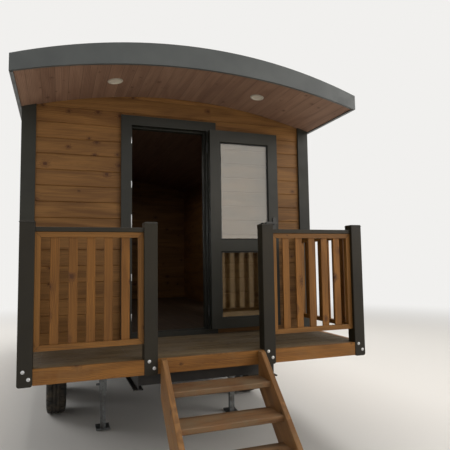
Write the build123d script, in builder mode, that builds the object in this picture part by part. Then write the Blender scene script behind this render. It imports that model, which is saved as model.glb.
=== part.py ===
from build123d import *
from math import atan2, degrees, sqrt
import os

os.makedirs("parts", exist_ok=True)

# Vardo wagon with an open porch. Millimetres, +Z up, porch end at -Y, drawbar at +Y.
# The ground is Z = 0 and the origin is under the middle of the overall length.

# Main sizes
deck_top = 841
porch_depth = 925
cabin_length = 4500
cabin_half = 1290
wall = 90
rim_height = 97
deck_board = 28
arris = 3

# Roof, heights above the deck
soffit_crown = 2119
soffit_eave = 1919
fascia_crown = 2089
fascia_eave = 1909
roof_crown = 2254
roof_eave = 2027
eave_out = 50
roof_front_gap = 143
roof_rear_out = 150
fascia = 25
lining = 15
covering = 12

# Cladding boards
board_pitch = 133
board_joint = 1019
groove_width = 10
groove_depth = 5
corner_board = 110
corner_thick = 22

# Porch posts and railing, heights above the deck
post = 90
post_height = 914
inner_post_x = 432
rail_low = 844
rail_high = 875
panel_low = 102
panel_member = 35
slat_width = 55
slat_thick = 15
slat_gap = 56
rim_thick = 30

# Door, with the open leaf lying between the doorway and the corner
open_leaf_end = 927
door_width = 860
door_height = 1924
frame_member = 89
head_member = 84
sill = 43
frame_proud = 28
leaf_gap = 8
leaf_end_gap = 6
leaf_thick = 56
stop_lip = 12
hinge_out = 10
stile = 88
top_rail = 98
mid_rail = 91
bottom_rail = 80
lower_glass = 609
pane_thick = 24
bead = 14
bead_slope = 25

# Side windows, heights above the deck
window_low = 760
window_height = 900
window_width = 780
window_member = 40
casing = 60
drip = 20
sash_thick = 50
sash_member = 62

# Stairs
risers = 5
going = 180
stair_half = 371
stringer = 36
stringer_depth = 220
stringer_top = 50
tread_depth = 200
tread_thick = 38

# Chassis and running gear, with axles and steadies measured back from the ends of the body
beam_x = 500
beam_height = 120
beam_width = 64
flange = 8
web = 6
cross_height = 80
cross_width = 60
outrigger_reach = 1150
wheel_radius = 320
wheel_width = 185
rim_radius = 178
wheel_inset = 180
first_axle = 2000
axle_spacing = 800
arm_length = 150
arm_rise = 80
steady_x = 620
steady_back = 1337
steady_drop = 34
steady_leg = 60
drawbar_reach = 1250
drawbar_height = 80
drawbar_width = 60
eye_radius = 45
eye_bore = 20
eye_thick = 30

# Places worked out from the sizes above
stair_run = stringer_top + risers * going
body_length = porch_depth + cabin_length
front = stair_run - (stair_run + body_length + drawbar_reach) / 2
wall_y = front + porch_depth
rear_y = wall_y + cabin_length
inner_half = cabin_half - wall
roof_half = cabin_half + eave_out
roof_front = front + roof_front_gap
roof_rear = rear_y + roof_rear_out
outer_post_x = inner_half + 2
beam_top = deck_top - rim_height
beam_low = beam_top - beam_height
frame_y = wall_y - frame_proud
door_left = open_leaf_end - 2 * door_width + 3 * frame_member + leaf_gap
hinge_x = door_left + door_width - frame_member
hinge_y = frame_y - hinge_out
sill_top = deck_top + sill
leaf_low = sill_top + leaf_end_gap
leaf_high = deck_top + door_height - head_member - leaf_end_gap
leaf_width = door_width - 2 * frame_member - 2 * leaf_gap
leaf_x = hinge_x + leaf_gap
leaf_back = hinge_y - hinge_out
window_y = wall_y + cabin_length / 2
window_z = deck_top + window_low
wheel_x = cabin_half - wheel_inset - wheel_width / 2
cross_places = [porch_depth, first_axle + axle_spacing / 2, first_axle + axle_spacing + 450,
                body_length - 825, body_length - wall - cross_width / 2 - 5]


def block(x0, x1, y0, y1, z0, z1, mode=Mode.ADD):
    # box given by its six faces
    with Locations(((x0 + x1) / 2, (y0 + y1) / 2, (z0 + z1) / 2)):
        Box(x1 - x0, y1 - y0, z1 - z0, mode=mode)


def arch(crown, eave, half):
    # circle through the crown and through the eaves at +half and -half
    drop = crown - eave
    return deck_top + crown, (half * half + drop * drop) / (2 * drop)


def raised(curve, rise):
    # the same arch moved straight up
    return curve[0] + rise, curve[1]


def height_at(curve, x):
    # height of an arch at x, a plain number is a level line
    if isinstance(curve, tuple):
        return curve[0] - curve[1] + sqrt(curve[1] ** 2 - x ** 2)
    return curve


def edge_between(curve, x0, x1):
    # arc or level line along a curve from x0 to x1
    middle = (x0 + x1) / 2
    start = (x0, height_at(curve, x0))
    end = (x1, height_at(curve, x1))
    if isinstance(curve, tuple):
        return ThreePointArc(start, (middle, height_at(curve, middle)), end)
    return Line(start, end)


def across(y, x0, x1, low, high):
    # face square to the length of the wagon between two curves
    with BuildSketch(Plane.XZ.offset(-y)) as face:
        with BuildLine():
            edge_between(low, x0, x1)
            Line((x1, height_at(low, x1)), (x1, height_at(high, x1)))
            edge_between(high, x1, x0)
            Line((x0, height_at(high, x0)), (x0, height_at(low, x0)))
        make_face()
    return face.sketch


soffit = arch(soffit_crown, soffit_eave, cabin_half + 20)
lining_top = raised(soffit, lining)
fascia_low = arch(fascia_crown, fascia_eave, roof_half)
roof_top = arch(roof_crown, roof_eave, roof_half)
core_top = raised(roof_top, -covering)
sky = roof_top[0] + 500


def groove_heights():
    # heights of the joints between cladding boards
    count = int((roof_crown - board_joint) / board_pitch) + 1
    start = -int((board_joint + rim_height) / board_pitch)
    return [deck_top + board_joint + board_pitch * k for k in range(start, count)]


def side_grooves(side):
    # sections of the V joints on the outside of a side wall
    with BuildSketch(Plane.XZ.offset(-rear_y - 1)) as cuts:
        for z in groove_heights():
            with BuildLine():
                Polyline((side * (cabin_half + 0.01), z - groove_width / 2),
                         (side * (cabin_half + 0.01), z + groove_width / 2),
                         (side * (cabin_half - groove_depth), z), close=True)
            make_face()
    return cuts.sketch


def end_grooves(y, inward):
    # sections of the V joints on the outside of the front or rear wall
    with BuildSketch(Plane.YZ.offset(-inner_half - 1)) as cuts:
        for z in groove_heights():
            with BuildLine():
                Polyline((y - inward * 0.01, z - groove_width / 2),
                         (y - inward * 0.01, z + groove_width / 2),
                         (y + inward * groove_depth, z), close=True)
            make_face()
    return cuts.sketch


# Chassis: two long I beams, cross members between them and tapered outriggers beside them
chassis_front = front + post + 10
chassis_rear = rear_y - wall
beam_side = beam_x + beam_width / 2

with BuildPart() as chassis_beams:
    with BuildSketch(Plane.XZ.offset(-chassis_rear)):
        for x in (-beam_x, beam_x):
            with Locations((x, beam_low + beam_height / 2)):
                Rectangle(web, beam_height)
            with Locations((x, beam_low + flange / 2), (x, beam_top - flange / 2)):
                Rectangle(beam_width, flange)
    extrude(amount=chassis_rear - chassis_front)

with BuildPart() as cross_members:
    for y in [chassis_front + cross_width / 2, *(front + place for place in cross_places)]:
        block(web / 2 - beam_x, beam_x - web / 2, y - cross_width / 2, y + cross_width / 2,
              beam_top - flange - cross_height, beam_top - flange)

with BuildPart() as outriggers:
    for place in cross_places:
        with BuildSketch(Plane.XZ.offset(-front - place - cross_width / 2)):
            for side in (-1, 1):
                with BuildLine():
                    Polyline((side * beam_side, beam_low + 10), (side * beam_side, beam_top),
                             (side * outrigger_reach, beam_top),
                             (side * outrigger_reach, beam_top - 45), close=True)
                make_face()
        extrude(amount=cross_width)

# Drawbar: two box beams that meet behind the towing eye
drawbar_top = beam_top - 20
drawbar_low = drawbar_top - drawbar_height
drawbar_start = chassis_rear
eye_y = rear_y + drawbar_reach - eye_radius
nose_y = eye_y - 150
start_x = beam_x - 60
nose_x = drawbar_width / 2 + 12

with BuildPart() as drawbar:
    with BuildSketch(Plane.XY.offset(drawbar_low)):
        for side in (-1, 1):
            with BuildLine():
                Polyline((side * (start_x - drawbar_width / 2), drawbar_start),
                         (side * (start_x + drawbar_width / 2), drawbar_start),
                         (side * (nose_x + drawbar_width / 2), nose_y),
                         (side * (nose_x - drawbar_width / 2), nose_y), close=True)
            make_face()
        with Locations((0, nose_y - 150)):
            Rectangle(2 * nose_x + 60, 12)
    extrude(amount=drawbar_height)
    block(-nose_x - drawbar_width / 2, nose_x + drawbar_width / 2, nose_y, nose_y + 12,
          drawbar_low, drawbar_top)

eye_z = (drawbar_low + drawbar_top) / 2
with BuildPart() as towing_eye:
    with BuildSketch(Plane.XY.offset(eye_z - eye_thick / 2)):
        with Locations((0, eye_y)):
            Circle(eye_radius)
        with Locations((0, (nose_y + 24 + eye_y) / 2)):
            Rectangle(50, eye_y - nose_y - 24)
        with Locations((0, eye_y)):
            Circle(eye_bore, mode=Mode.SUBTRACT)
    extrude(amount=eye_thick)
    block(-nose_x - 10, nose_x + 10, nose_y + 12, nose_y + 26, drawbar_low + 5, drawbar_top - 5)

# Axles: torsion tube with two hangers, trailing arms, brake plates and stub axles
axle_y = [front + first_axle, front + first_axle + axle_spacing]
tube_half = 40
tube_z = wheel_radius + arm_rise
arm_half = 35
arm_thick = 30
arm_x = wheel_x - wheel_width / 2 - 50 - arm_thick
stub_radius = 25
stub_start = arm_x + arm_thick
stub_end = wheel_x + 40
drum_radius = 112
drum_back = 58
plate_gap = 5

with BuildPart() as axle_beams:
    for y in axle_y:
        tube_y = y + arm_length
        block(-arm_x, arm_x, tube_y - tube_half, tube_y + tube_half,
              tube_z - tube_half, tube_z + tube_half)
        for side in (-1, 1):
            with BuildSketch(Plane.YZ.offset(side * beam_x - beam_width / 2)):
                with BuildLine():
                    Polyline((tube_y - tube_half - 12, tube_z - tube_half),
                             (tube_y + tube_half + 12, tube_z - tube_half),
                             (tube_y + tube_half + 50, beam_low),
                             (tube_y - tube_half - 50, beam_low), close=True)
                make_face()
            extrude(amount=beam_width)
            with BuildSketch(Plane.YZ.offset(side * (arm_x + arm_thick / 2) - arm_thick / 2)):
                with BuildLine():
                    Polyline((y - arm_half, wheel_radius - arm_half),
                             (y + arm_half, wheel_radius - arm_half),
                             (tube_y + tube_half, tube_z - tube_half),
                             (tube_y + tube_half, tube_z + tube_half),
                             (tube_y - tube_half, tube_z + tube_half),
                             (y - arm_half, wheel_radius + arm_half), close=True)
                make_face()
            extrude(amount=arm_thick)
            with Locations((side * (stub_start + stub_end) / 2, y, wheel_radius)):
                Cylinder(stub_radius, stub_end - stub_start, rotation=(0, 90, 0))
            with Locations((side * (wheel_x - drum_back - plate_gap - 3), y, wheel_radius)):
                Cylinder(drum_radius + 6, 6, rotation=(0, 90, 0))

# Wheels: one tyre and one pressed steel rim with its brake drum at each end of both axles. The
# outlines list (distance outwards from the wheel's middle plane, radius).
tyre_half = wheel_width / 2
tyre_height = wheel_radius - rim_radius
seat_half = 65
tyre_side = [(seat_half, rim_radius), (seat_half, rim_radius + 16),
             (tyre_half, rim_radius + 0.42 * tyre_height),
             (tyre_half - 8, rim_radius + 0.85 * tyre_height), (tyre_half - 26, wheel_radius)]
seat = rim_radius - 0.3
band = 5
well = seat - 26
flange_out = seat_half + band
band_out = [(flange_out, seat + 16), (seat_half, seat + 16), (seat_half, seat), (40, seat), (28, well)]
band_in = [(31, well - band), (43, seat - band), (flange_out, seat - band)]
ring_low = 92
ring_high = well - 28
disc = [(28, well - 2), (38, ring_high), (38, ring_low), (24, ring_low - 14), (24, 42),
        (18, 42), (18, ring_low - 12), (32, ring_low + 2), (32, ring_high - 2), (24, well - 4)]
hub = [(-drum_back, stub_radius + 0.5), (-drum_back, drum_radius), (8, drum_radius), (18, 74),
       (18, 38), (60, 38), (60, 0), (44, 0), (44, stub_radius + 0.5)]
hand_holes = 8


def flip(half):
    # mirror image of half an outline, in the order that carries the outline on
    return [(-out, radius) for out, radius in reversed(half)]


def wheel_section(outlines, x, y, side):
    # closed outlines in the plane that holds a wheel's axis
    plane = Plane(origin=(x, y, wheel_radius), x_dir=(side, 0, 0), z_dir=(0, -side, 0))
    with BuildSketch(plane) as section:
        for outline in outlines:
            with BuildLine():
                Polyline(*outline, close=True)
            make_face()
    return section.sketch


wheels = {}
for side, side_name in ((-1, "left"), (1, "right")):
    for y, row_name in zip(axle_y, ("front", "rear")):
        x = side * wheel_x
        spin = Axis((x, y, wheel_radius), (1, 0, 0))
        with BuildPart() as tyre:
            revolve(wheel_section([tyre_side + flip(tyre_side)], x, y, side), axis=spin)
        barrel = band_out + flip(band_out) + flip(band_in) + band_in
        with BuildPart() as rim:
            revolve(wheel_section([barrel, disc, hub], x, y, side), axis=spin)
            with BuildSketch(Plane(origin=(x + side * 16, y, wheel_radius), x_dir=(0, 1, 0),
                                   z_dir=(side, 0, 0))):
                with PolarLocations((ring_low + ring_high) / 2, hand_holes):
                    Trapezoid(34, (ring_high - ring_low) * 2 / 3, 75, rotation=90)
            extrude(amount=40, mode=Mode.SUBTRACT)
        wheels["tyre_" + row_name + "_" + side_name] = tyre.part
        wheels["rim_" + row_name + "_" + side_name] = rim.part

# Corner steadies: a square leg that swings up to stow, on a pivot beside each chassis beam
steady_y = {-1: front + steady_back, 1: rear_y - steady_back}
pivot_z = beam_low - steady_drop
pivot_radius = 22
leg_half = steady_leg / 2
slide_half = leg_half - 7
leg_low = 330
foot_flat = 45
foot_half = 75
foot_side = 60
foot_thick = 8
toe_rise = 12
bore_depth = 15
bracket = 10
steadies = {}
for end, end_name in ((-1, "front"), (1, "rear")):
    for side, side_name in ((-1, "left"), (1, "right")):
        x = side * steady_x
        y = steady_y[end]
        with BuildPart() as steady:
            block(x - leg_half, x + leg_half, y - leg_half, y + leg_half, leg_low, pivot_z + 40)
            block(x - slide_half, x + slide_half, y - slide_half, y + slide_half, foot_thick, leg_low)
            with BuildSketch(Plane.YZ.offset(x - foot_side)):
                with BuildLine():
                    Polyline((y - foot_half, toe_rise), (y - foot_flat, 0), (y + foot_flat, 0),
                             (y + foot_half, toe_rise), (y + foot_half, toe_rise + foot_thick),
                             (y + foot_flat - 2, foot_thick), (y - foot_flat + 2, foot_thick),
                             (y - foot_half, toe_rise + foot_thick), close=True)
                make_face()
            extrude(amount=2 * foot_side)
            with Locations((x + side * (leg_half + 15), y, leg_low + 60)):
                Cylinder(9, 30, rotation=(0, 90, 0))
            with Locations((x - side * leg_half, y, pivot_z)):
                Cylinder(pivot_radius + 0.5, 2 * bore_depth, rotation=(0, 90, 0), mode=Mode.SUBTRACT)
        steadies["steady_" + end_name + "_" + side_name] = steady.part

bracket_face = beam_side + bracket
pivot_end = steady_x - leg_half + bore_depth - 1
with BuildPart() as steady_brackets:
    for end in (-1, 1):
        for side in (-1, 1):
            y = steady_y[end]
            with BuildSketch(Plane.YZ.offset(side * (beam_side + bracket / 2) - bracket / 2)):
                with BuildLine():
                    Polyline((y - 60, beam_top - 2), (y - 60, beam_low), (y - 32, pivot_z - 32),
                             (y + 32, pivot_z - 32), (y + 60, beam_low), (y + 60, beam_top - 2),
                             close=True)
                make_face()
            extrude(amount=bracket)
            with Locations((side * (bracket_face + pivot_end) / 2, y, pivot_z)):
                Cylinder(pivot_radius, pivot_end - bracket_face, rotation=(0, 90, 0))

# Jockey wheel: clamped tube, sliding stem, swivelling fork and a solid wheel
jockey_radius = 110
jockey_width = 60
trail = 45
jockey_y = nose_y - 200
slope_x = start_x + (nose_x - start_x) * (jockey_y - drawbar_start) / (nose_y - drawbar_start)
jockey_x = slope_x + drawbar_width / 2 + 60
tube_outer = 32
tube_inner = 27
stem_radius = 26.5
tube_low = drawbar_low - 130
tube_high = drawbar_top + 260
collar_z = 2 * jockey_radius + 60

with BuildPart() as jockey_tube:
    with Locations((jockey_x, jockey_y, (tube_low + tube_high) / 2)):
        Cylinder(tube_outer, tube_high - tube_low)
    block(slope_x + drawbar_width / 2 + 14, jockey_x, jockey_y - 30, jockey_y + 30,
          drawbar_low + 5, drawbar_top - 5)
    with Locations((jockey_x, jockey_y, (tube_low + tube_high) / 2 - 10)):
        Cylinder(tube_inner, tube_high - tube_low, mode=Mode.SUBTRACT)

with BuildPart() as jockey_stem:
    with Locations((jockey_x, jockey_y, (collar_z + tube_high - 240) / 2)):
        Cylinder(stem_radius, tube_high - 240 - collar_z)
    with Locations((jockey_x, jockey_y, collar_z + 10)):
        Cylinder(tube_outer, 20)

with BuildPart() as jockey_fork:
    with Locations((jockey_x, jockey_y, collar_z - 16)):
        Cylinder(tube_outer, 30)
    block(jockey_x - jockey_width / 2 - 14, jockey_x + jockey_width / 2 + 14,
          jockey_y - trail - 32, jockey_y + 32, collar_z - 41, collar_z - 31)
    for side in (-1, 1):
        near = jockey_x + side * (jockey_width / 2 + 6)
        far = near + side * 8
        block(min(near, far), max(near, far), jockey_y - trail - 25, jockey_y - trail + 25,
              jockey_radius - 25, collar_z - 31)
    with Locations((jockey_x, jockey_y - trail, jockey_radius)):
        Cylinder(10, jockey_width + 28, rotation=(0, 90, 0))

with BuildPart() as jockey_wheel:
    with Locations((jockey_x, jockey_y - trail, jockey_radius)):
        Cylinder(jockey_radius, jockey_width, rotation=(0, 90, 0))
        Cylinder(10.5, jockey_width + 2, rotation=(0, 90, 0), mode=Mode.SUBTRACT)
    chamfer(jockey_wheel.edges().filter_by(GeomType.CIRCLE).sort_by(SortBy.RADIUS)[-2:], 12)

# Floor platform, notched round the posts, with the porch part one board lower
posts_x = (-outer_post_x, -inner_post_x, inner_post_x, outer_post_x)
with BuildPart() as floor_platform:
    block(-inner_half, inner_half, wall_y, rear_y - wall, beam_top, deck_top)
    block(-inner_half, inner_half, front + rim_thick + 6, wall_y, beam_top,
          deck_top - deck_board)
    for x in posts_x:
        block(x - post / 2 - 1, x + post / 2 + 1, front - 1, front + post + 1,
              beam_top - 10, deck_top + 10, mode=Mode.SUBTRACT)

# Rim boards round the porch: three in front between the posts and one along each side
spans = [(-outer_post_x + post / 2, -inner_post_x - post / 2),
         (-inner_post_x + post / 2, inner_post_x - post / 2),
         (inner_post_x + post / 2, outer_post_x - post / 2)]
side_rim_out = outer_post_x + post / 2
with BuildPart() as rim_boards:
    for x0, x1 in spans:
        block(x0, x1, front + 5, front + 5 + rim_thick, beam_top, deck_top)
    for side in (-1, 1):
        x0 = side * (inner_half + 7)
        x1 = side * side_rim_out
        block(min(x0, x1), max(x0, x1), front + post, wall_y - corner_thick - 1,
              beam_top, deck_top)
    chamfer(rim_boards.edges().filter_by(lambda edge: edge.length > 2 * rim_height), arris)

# Porch deck boards laid across the wagon
deck_start = front + post + 3
deck_room = wall_y - 2 - deck_start
deck_count = round(deck_room / 121)
deck_pitch = deck_room / deck_count
with BuildPart() as deck_boards:
    for k in range(deck_count):
        y0 = deck_start + k * deck_pitch
        block(-inner_half, inner_half, y0, y0 + deck_pitch - 5, deck_top - deck_board, deck_top)
    for x0, x1 in spans:
        block(max(x0, -inner_half) + 2, min(x1, inner_half) - 2, front + rim_thick + 8,
              front + post - 2, deck_top - deck_board, deck_top)
    chamfer(deck_boards.edges().group_by(Axis.Z)[-1].filter_by(Axis.X), arris)

# Posts with rounded lower corners and a bevelled cap
post_low = beam_top - 6
post_high = deck_top + post_height
cap = 12
with BuildPart() as posts:
    with BuildSketch(Plane.XZ.offset(-front - post)) as foot:
        for x in posts_x:
            with Locations((x, (post_low + post_high - cap) / 2)):
                Rectangle(post, post_high - cap - post_low)
        fillet(foot.vertices().group_by(Axis.Y)[0], 16)
    extrude(amount=post)
    chamfer(posts.edges().filter_by(Axis.Z), arris)
    for x in posts_x:
        with BuildSketch(Plane.XY.offset(post_high - cap)):
            with Locations((x, front + post / 2)):
                Rectangle(post + 6, post + 6)
        extrude(amount=cap, taper=35)

# Railing: dark top rails over slatted timber frames, in front and along both sides
side_end = wall_y - corner_thick
frame_depth = 35
rail_depth = 50
mitre_joint = 0.3
runs = [("front", spans[0]), ("front", spans[2]),
        ("side", -outer_post_x), ("side", outer_post_x)]


def run_block(kind, place, u0, u1, depth, z0, z1):
    # piece of railing between u0 and u1 along its run
    if kind == "front":
        middle = front + post / 2
        block(u0, u1, middle - depth / 2, middle + depth / 2, z0, z1)
    else:
        block(place - depth / 2, place + depth / 2, u0, u1, z0, z1)


def run_ends(kind, place):
    # the two ends of a railing run
    if kind == "front":
        return place
    return front + post, side_end


with BuildPart() as top_rails:
    for kind, place in runs:
        u0, u1 = run_ends(kind, place)
        run_block(kind, place, u0, u1, rail_depth, deck_top + rail_low, deck_top + rail_high)
    chamfer(top_rails.edges().filter_by(lambda edge: edge.length > 2 * rail_depth), arris)

with BuildPart() as railing_frames:
    low = deck_top + panel_low
    high = deck_top + rail_low
    for kind, place in runs:
        u0, u1 = run_ends(kind, place)
        outer = [Vector(u0, low), Vector(u1, low), Vector(u1, high), Vector(u0, high)]
        inward = [Vector(1, 1), Vector(-1, 1), Vector(-1, -1), Vector(1, -1)]
        if kind == "front":
            plane = Plane.XZ.offset(-front - (post + frame_depth) / 2)
        else:
            plane = Plane.YZ.offset(place - frame_depth / 2)
        with BuildSketch(plane):
            for k in range(4):
                start = outer[k]
                end = outer[(k + 1) % 4]
                gap = (end - start).normalized() * mitre_joint
                with BuildLine():
                    Polyline(start + gap, end - gap,
                             end - gap + inward[(k + 1) % 4] * panel_member,
                             start + gap + inward[k] * panel_member, close=True)
                make_face()
        extrude(amount=frame_depth)

with BuildPart() as railing_slats:
    for kind, place in runs:
        u0, u1 = run_ends(kind, place)
        room = u1 - u0 - 2 * panel_member
        count = round((room - slat_gap) / (slat_width + slat_gap))
        space = (room - count * slat_width) / (count + 1)
        for k in range(count):
            start = u0 + panel_member + space + k * (slat_width + space)
            run_block(kind, place, start, start + slat_width, slat_thick,
                      deck_top + panel_low + panel_member, deck_top + rail_low - panel_member)
    chamfer(railing_slats.edges().filter_by(Axis.Z), 2)

# Walls
door_right = door_left + door_width
with BuildPart() as front_wall:
    extrude(across(wall_y + wall, -inner_half, inner_half, deck_top, lining_top), amount=wall)
    block(door_left, door_right, wall_y - 1, wall_y + wall + 1, deck_top - 1,
          deck_top + door_height, mode=Mode.SUBTRACT)
    extrude(end_grooves(wall_y, 1), amount=2 * inner_half + 2, mode=Mode.SUBTRACT)

with BuildPart() as rear_wall:
    extrude(across(rear_y, -inner_half, inner_half, beam_top, lining_top), amount=wall)
    extrude(end_grooves(rear_y, -1), amount=2 * inner_half + 2, mode=Mode.SUBTRACT)

side_walls = {}
for side, side_name in ((-1, "left"), (1, "right")):
    x0, x1 = sorted((side * inner_half, side * cabin_half))
    with BuildPart() as side_wall:
        extrude(across(rear_y, x0, x1, beam_top, lining_top), amount=cabin_length)
        block(x0 - 1, x1 + 1, window_y - window_width / 2, window_y + window_width / 2,
              window_z, window_z + window_height, mode=Mode.SUBTRACT)
        extrude(side_grooves(side), amount=cabin_length + 2, mode=Mode.SUBTRACT)
    side_walls[side_name + "_wall"] = side_wall.part

# Corner boards wrapped round the four corners of the cabin
corner_out = cabin_half + corner_thick
with BuildPart() as corner_boards:
    for side in (-1, 1):
        for y, outward in ((wall_y, -1), (rear_y, 1)):
            near, far = sorted((side * (corner_out - corner_board), side * corner_out))
            y0, y1 = sorted((y, y + outward * corner_thick))
            block(near, far, y0, y1, beam_top, sky)
            x0, x1 = sorted((side * cabin_half, side * corner_out))
            y0, y1 = sorted((y + outward * corner_thick, y - outward * (corner_board - corner_thick)))
            block(x0, x1, y0, y1, beam_top, sky)
    outer_edges = corner_boards.edges().filter_by(Axis.Z)
    chamfer(outer_edges.filter_by(lambda edge: abs(edge.center().X) > corner_out - 1), arris)
    extrude(across(roof_rear, -corner_out - 2, corner_out + 2, soffit, sky + 10),
            amount=roof_rear - roof_front, mode=Mode.SUBTRACT)

# Roof: insulated shell, covering, linings below it and boards round its edge
shell_half = roof_half - fascia
shell_front = roof_front + fascia
shell_rear = roof_rear - fascia
with BuildPart() as roof_shell:
    extrude(across(shell_rear, -shell_half, shell_half, lining_top, core_top),
            amount=shell_rear - shell_front)

with BuildPart() as roof_covering:
    extrude(across(shell_rear, -shell_half, shell_half, core_top, roof_top),
            amount=shell_rear - shell_front)

light_x = 610
light_y = roof_front + 402
light_body = 50
light_turn = degrees(atan2(light_x, soffit[1]))
light_outline = [(0, -1), (42, -1), (46, -6), (60, -4), (60, 0), (light_body, 0), (light_body, 10),
                 (0, 10)]
with BuildPart() as roof_lining:
    extrude(across(wall_y, -shell_half, shell_half, soffit, lining_top),
            amount=wall_y - shell_front)
    extrude(across(rear_y - wall, -inner_half, inner_half, soffit, lining_top),
            amount=cabin_length - 2 * wall)
    extrude(across(shell_rear, -shell_half, shell_half, soffit, lining_top),
            amount=shell_rear - rear_y)
    for side in (-1, 1):
        with Locations((side * light_x, light_y, height_at(soffit, light_x) + lining / 2)):
            Cylinder(light_body + 2, 3 * lining, mode=Mode.SUBTRACT)

with BuildPart() as downlights:
    for side in (-1, 1):
        place = Plane(Location((side * light_x, light_y, height_at(soffit, light_x) - 0.6),
                               (0, side * light_turn, 0)))
        with BuildSketch(Plane(place.origin, x_dir=place.x_dir, z_dir=-place.y_dir)):
            with BuildLine():
                Polyline(*light_outline, close=True)
            make_face()
        revolve(axis=Axis(place.origin, place.z_dir))

with BuildPart() as end_fascias:
    for y in (roof_front + fascia, roof_rear):
        extrude(across(y, -roof_half, roof_half, fascia_low, roof_top), amount=fascia)

with BuildPart() as eave_fascias:
    for side in (-1, 1):
        x0, x1 = sorted((side * shell_half, side * roof_half))
        with BuildSketch(Plane.XZ.offset(-shell_rear)):
            with BuildLine():
                Polyline((x0, deck_top + fascia_eave), (x1, deck_top + fascia_eave),
                         (x1, height_at(roof_top, x1)), (x0, height_at(roof_top, x0)), close=True)
            make_face()
        extrude(amount=shell_rear - shell_front)

# Door frame with a rebate for the leaf
frame_top = deck_top + door_height
opening_left = door_left + frame_member
opening_top = frame_top - head_member
stop_y = frame_y + leaf_thick + 6
with BuildPart() as door_frame:
    block(door_left, door_right, frame_y, wall_y + wall, deck_top, frame_top)
    block(opening_left, hinge_x, frame_y - 1, stop_y, sill_top, opening_top, mode=Mode.SUBTRACT)
    block(opening_left + stop_lip, hinge_x - stop_lip, stop_y - 1, wall_y + wall + 1,
          sill_top, opening_top - stop_lip, mode=Mode.SUBTRACT)

# Door leaf, standing open against the wall, with two panes
leaf_front = leaf_back - leaf_thick
leaf_end = leaf_x + leaf_width
panes = [(leaf_low + bottom_rail, leaf_low + bottom_rail + lower_glass),
         (leaf_low + bottom_rail + lower_glass + mid_rail, leaf_high - top_rail)]
with BuildPart() as door_leaf:
    block(leaf_x, leaf_end, leaf_front, leaf_back, leaf_low, leaf_high)
    for z0, z1 in panes:
        block(leaf_x + stile, leaf_end - stile, leaf_front - 1, leaf_back + 1, z0, z1,
              mode=Mode.SUBTRACT)

pane_y = (leaf_front + leaf_back) / 2
pane_x = (leaf_x + leaf_end) / 2
pane_width = leaf_width - 2 * stile
with BuildPart() as door_glass:
    for z0, z1 in panes:
        block(leaf_x + stile, leaf_end - stile, pane_y - pane_thick / 2, pane_y + pane_thick / 2,
              z0, z1)

# Beads that hold the panes in the leaf, bevelled towards the glass
bead_depth = (leaf_thick - pane_thick) / 2
with BuildPart() as door_beads:
    for z0, z1 in panes:
        with BuildSketch(Plane.XZ.offset(-pane_y + pane_thick / 2)):
            with Locations((pane_x, (z0 + z1) / 2)):
                Rectangle(pane_width, z1 - z0)
        extrude(amount=bead_depth)
        with BuildSketch(Plane.XZ.offset(-pane_y + pane_thick / 2)):
            with Locations((pane_x, (z0 + z1) / 2)):
                Rectangle(pane_width - 2 * bead, z1 - z0 - 2 * bead)
        extrude(amount=bead_depth + 1, taper=-bead_slope, mode=Mode.SUBTRACT)

# Lever handles on long plates, one on each face of the leaf
handle_x = leaf_end - stile / 2
handle_z = leaf_low + bottom_rail + lower_glass + mid_rail / 2 + 207
with BuildPart() as door_handles:
    for face, outward, reach in ((leaf_front, -1, 48), (leaf_back, 1, 38)):
        with BuildSketch(Plane.XZ.offset(-max(face, face + outward * 9))):
            with Locations((handle_x, handle_z - 60)):
                RectangleRounded(32, 230, 14)
        extrude(amount=9)
        with Locations((handle_x, face + outward * (reach - 5) / 2, handle_z)):
            Cylinder(8, reach - 5, rotation=(90, 0, 0))
        with BuildSketch(Plane.XZ.offset(-max(face + outward * reach, face + outward * (reach - 14)))):
            with Locations((handle_x - 46, handle_z)):
                RectangleRounded(116, 20, 9)
        extrude(amount=14)

# Hinges: the lower half of each sits on the frame and the upper half on the leaf
knuckle = 8
pin = 4
half_hinge = 44
hinge_rows = [leaf_low + 110, (leaf_low + leaf_high) / 2 - 40, leaf_high - 200]
with BuildPart() as leaf_hinges:
    for z in hinge_rows:
        with Locations((hinge_x, hinge_y, z + 1.5 * half_hinge + 2)):
            Cylinder(knuckle, half_hinge)
            Cylinder(pin + 0.5, half_hinge + 2, mode=Mode.SUBTRACT)
        block(hinge_x + pin + 1.5, hinge_x + leaf_gap + 40, leaf_back, leaf_back + 3,
              z + half_hinge + 2, z + 2 * half_hinge + 2)

keeps = [(1625, 60), (1237, 60), (875, 130), (436, 60), (101, 60)]
with BuildPart() as frame_fittings:
    for z in hinge_rows:
        with Locations((hinge_x, hinge_y, z + half_hinge / 2)):
            Cylinder(knuckle, half_hinge)
        with Locations((hinge_x, hinge_y, z + half_hinge)):
            Cylinder(pin, 2 * half_hinge - 20)
        block(hinge_x + pin, hinge_x + 40, frame_y - 3, frame_y, z, z + half_hinge)
    for height, length in keeps:
        z = leaf_low + height
        block(opening_left, opening_left + 2, frame_y + 16, frame_y + 40, z, z + length)

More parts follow.
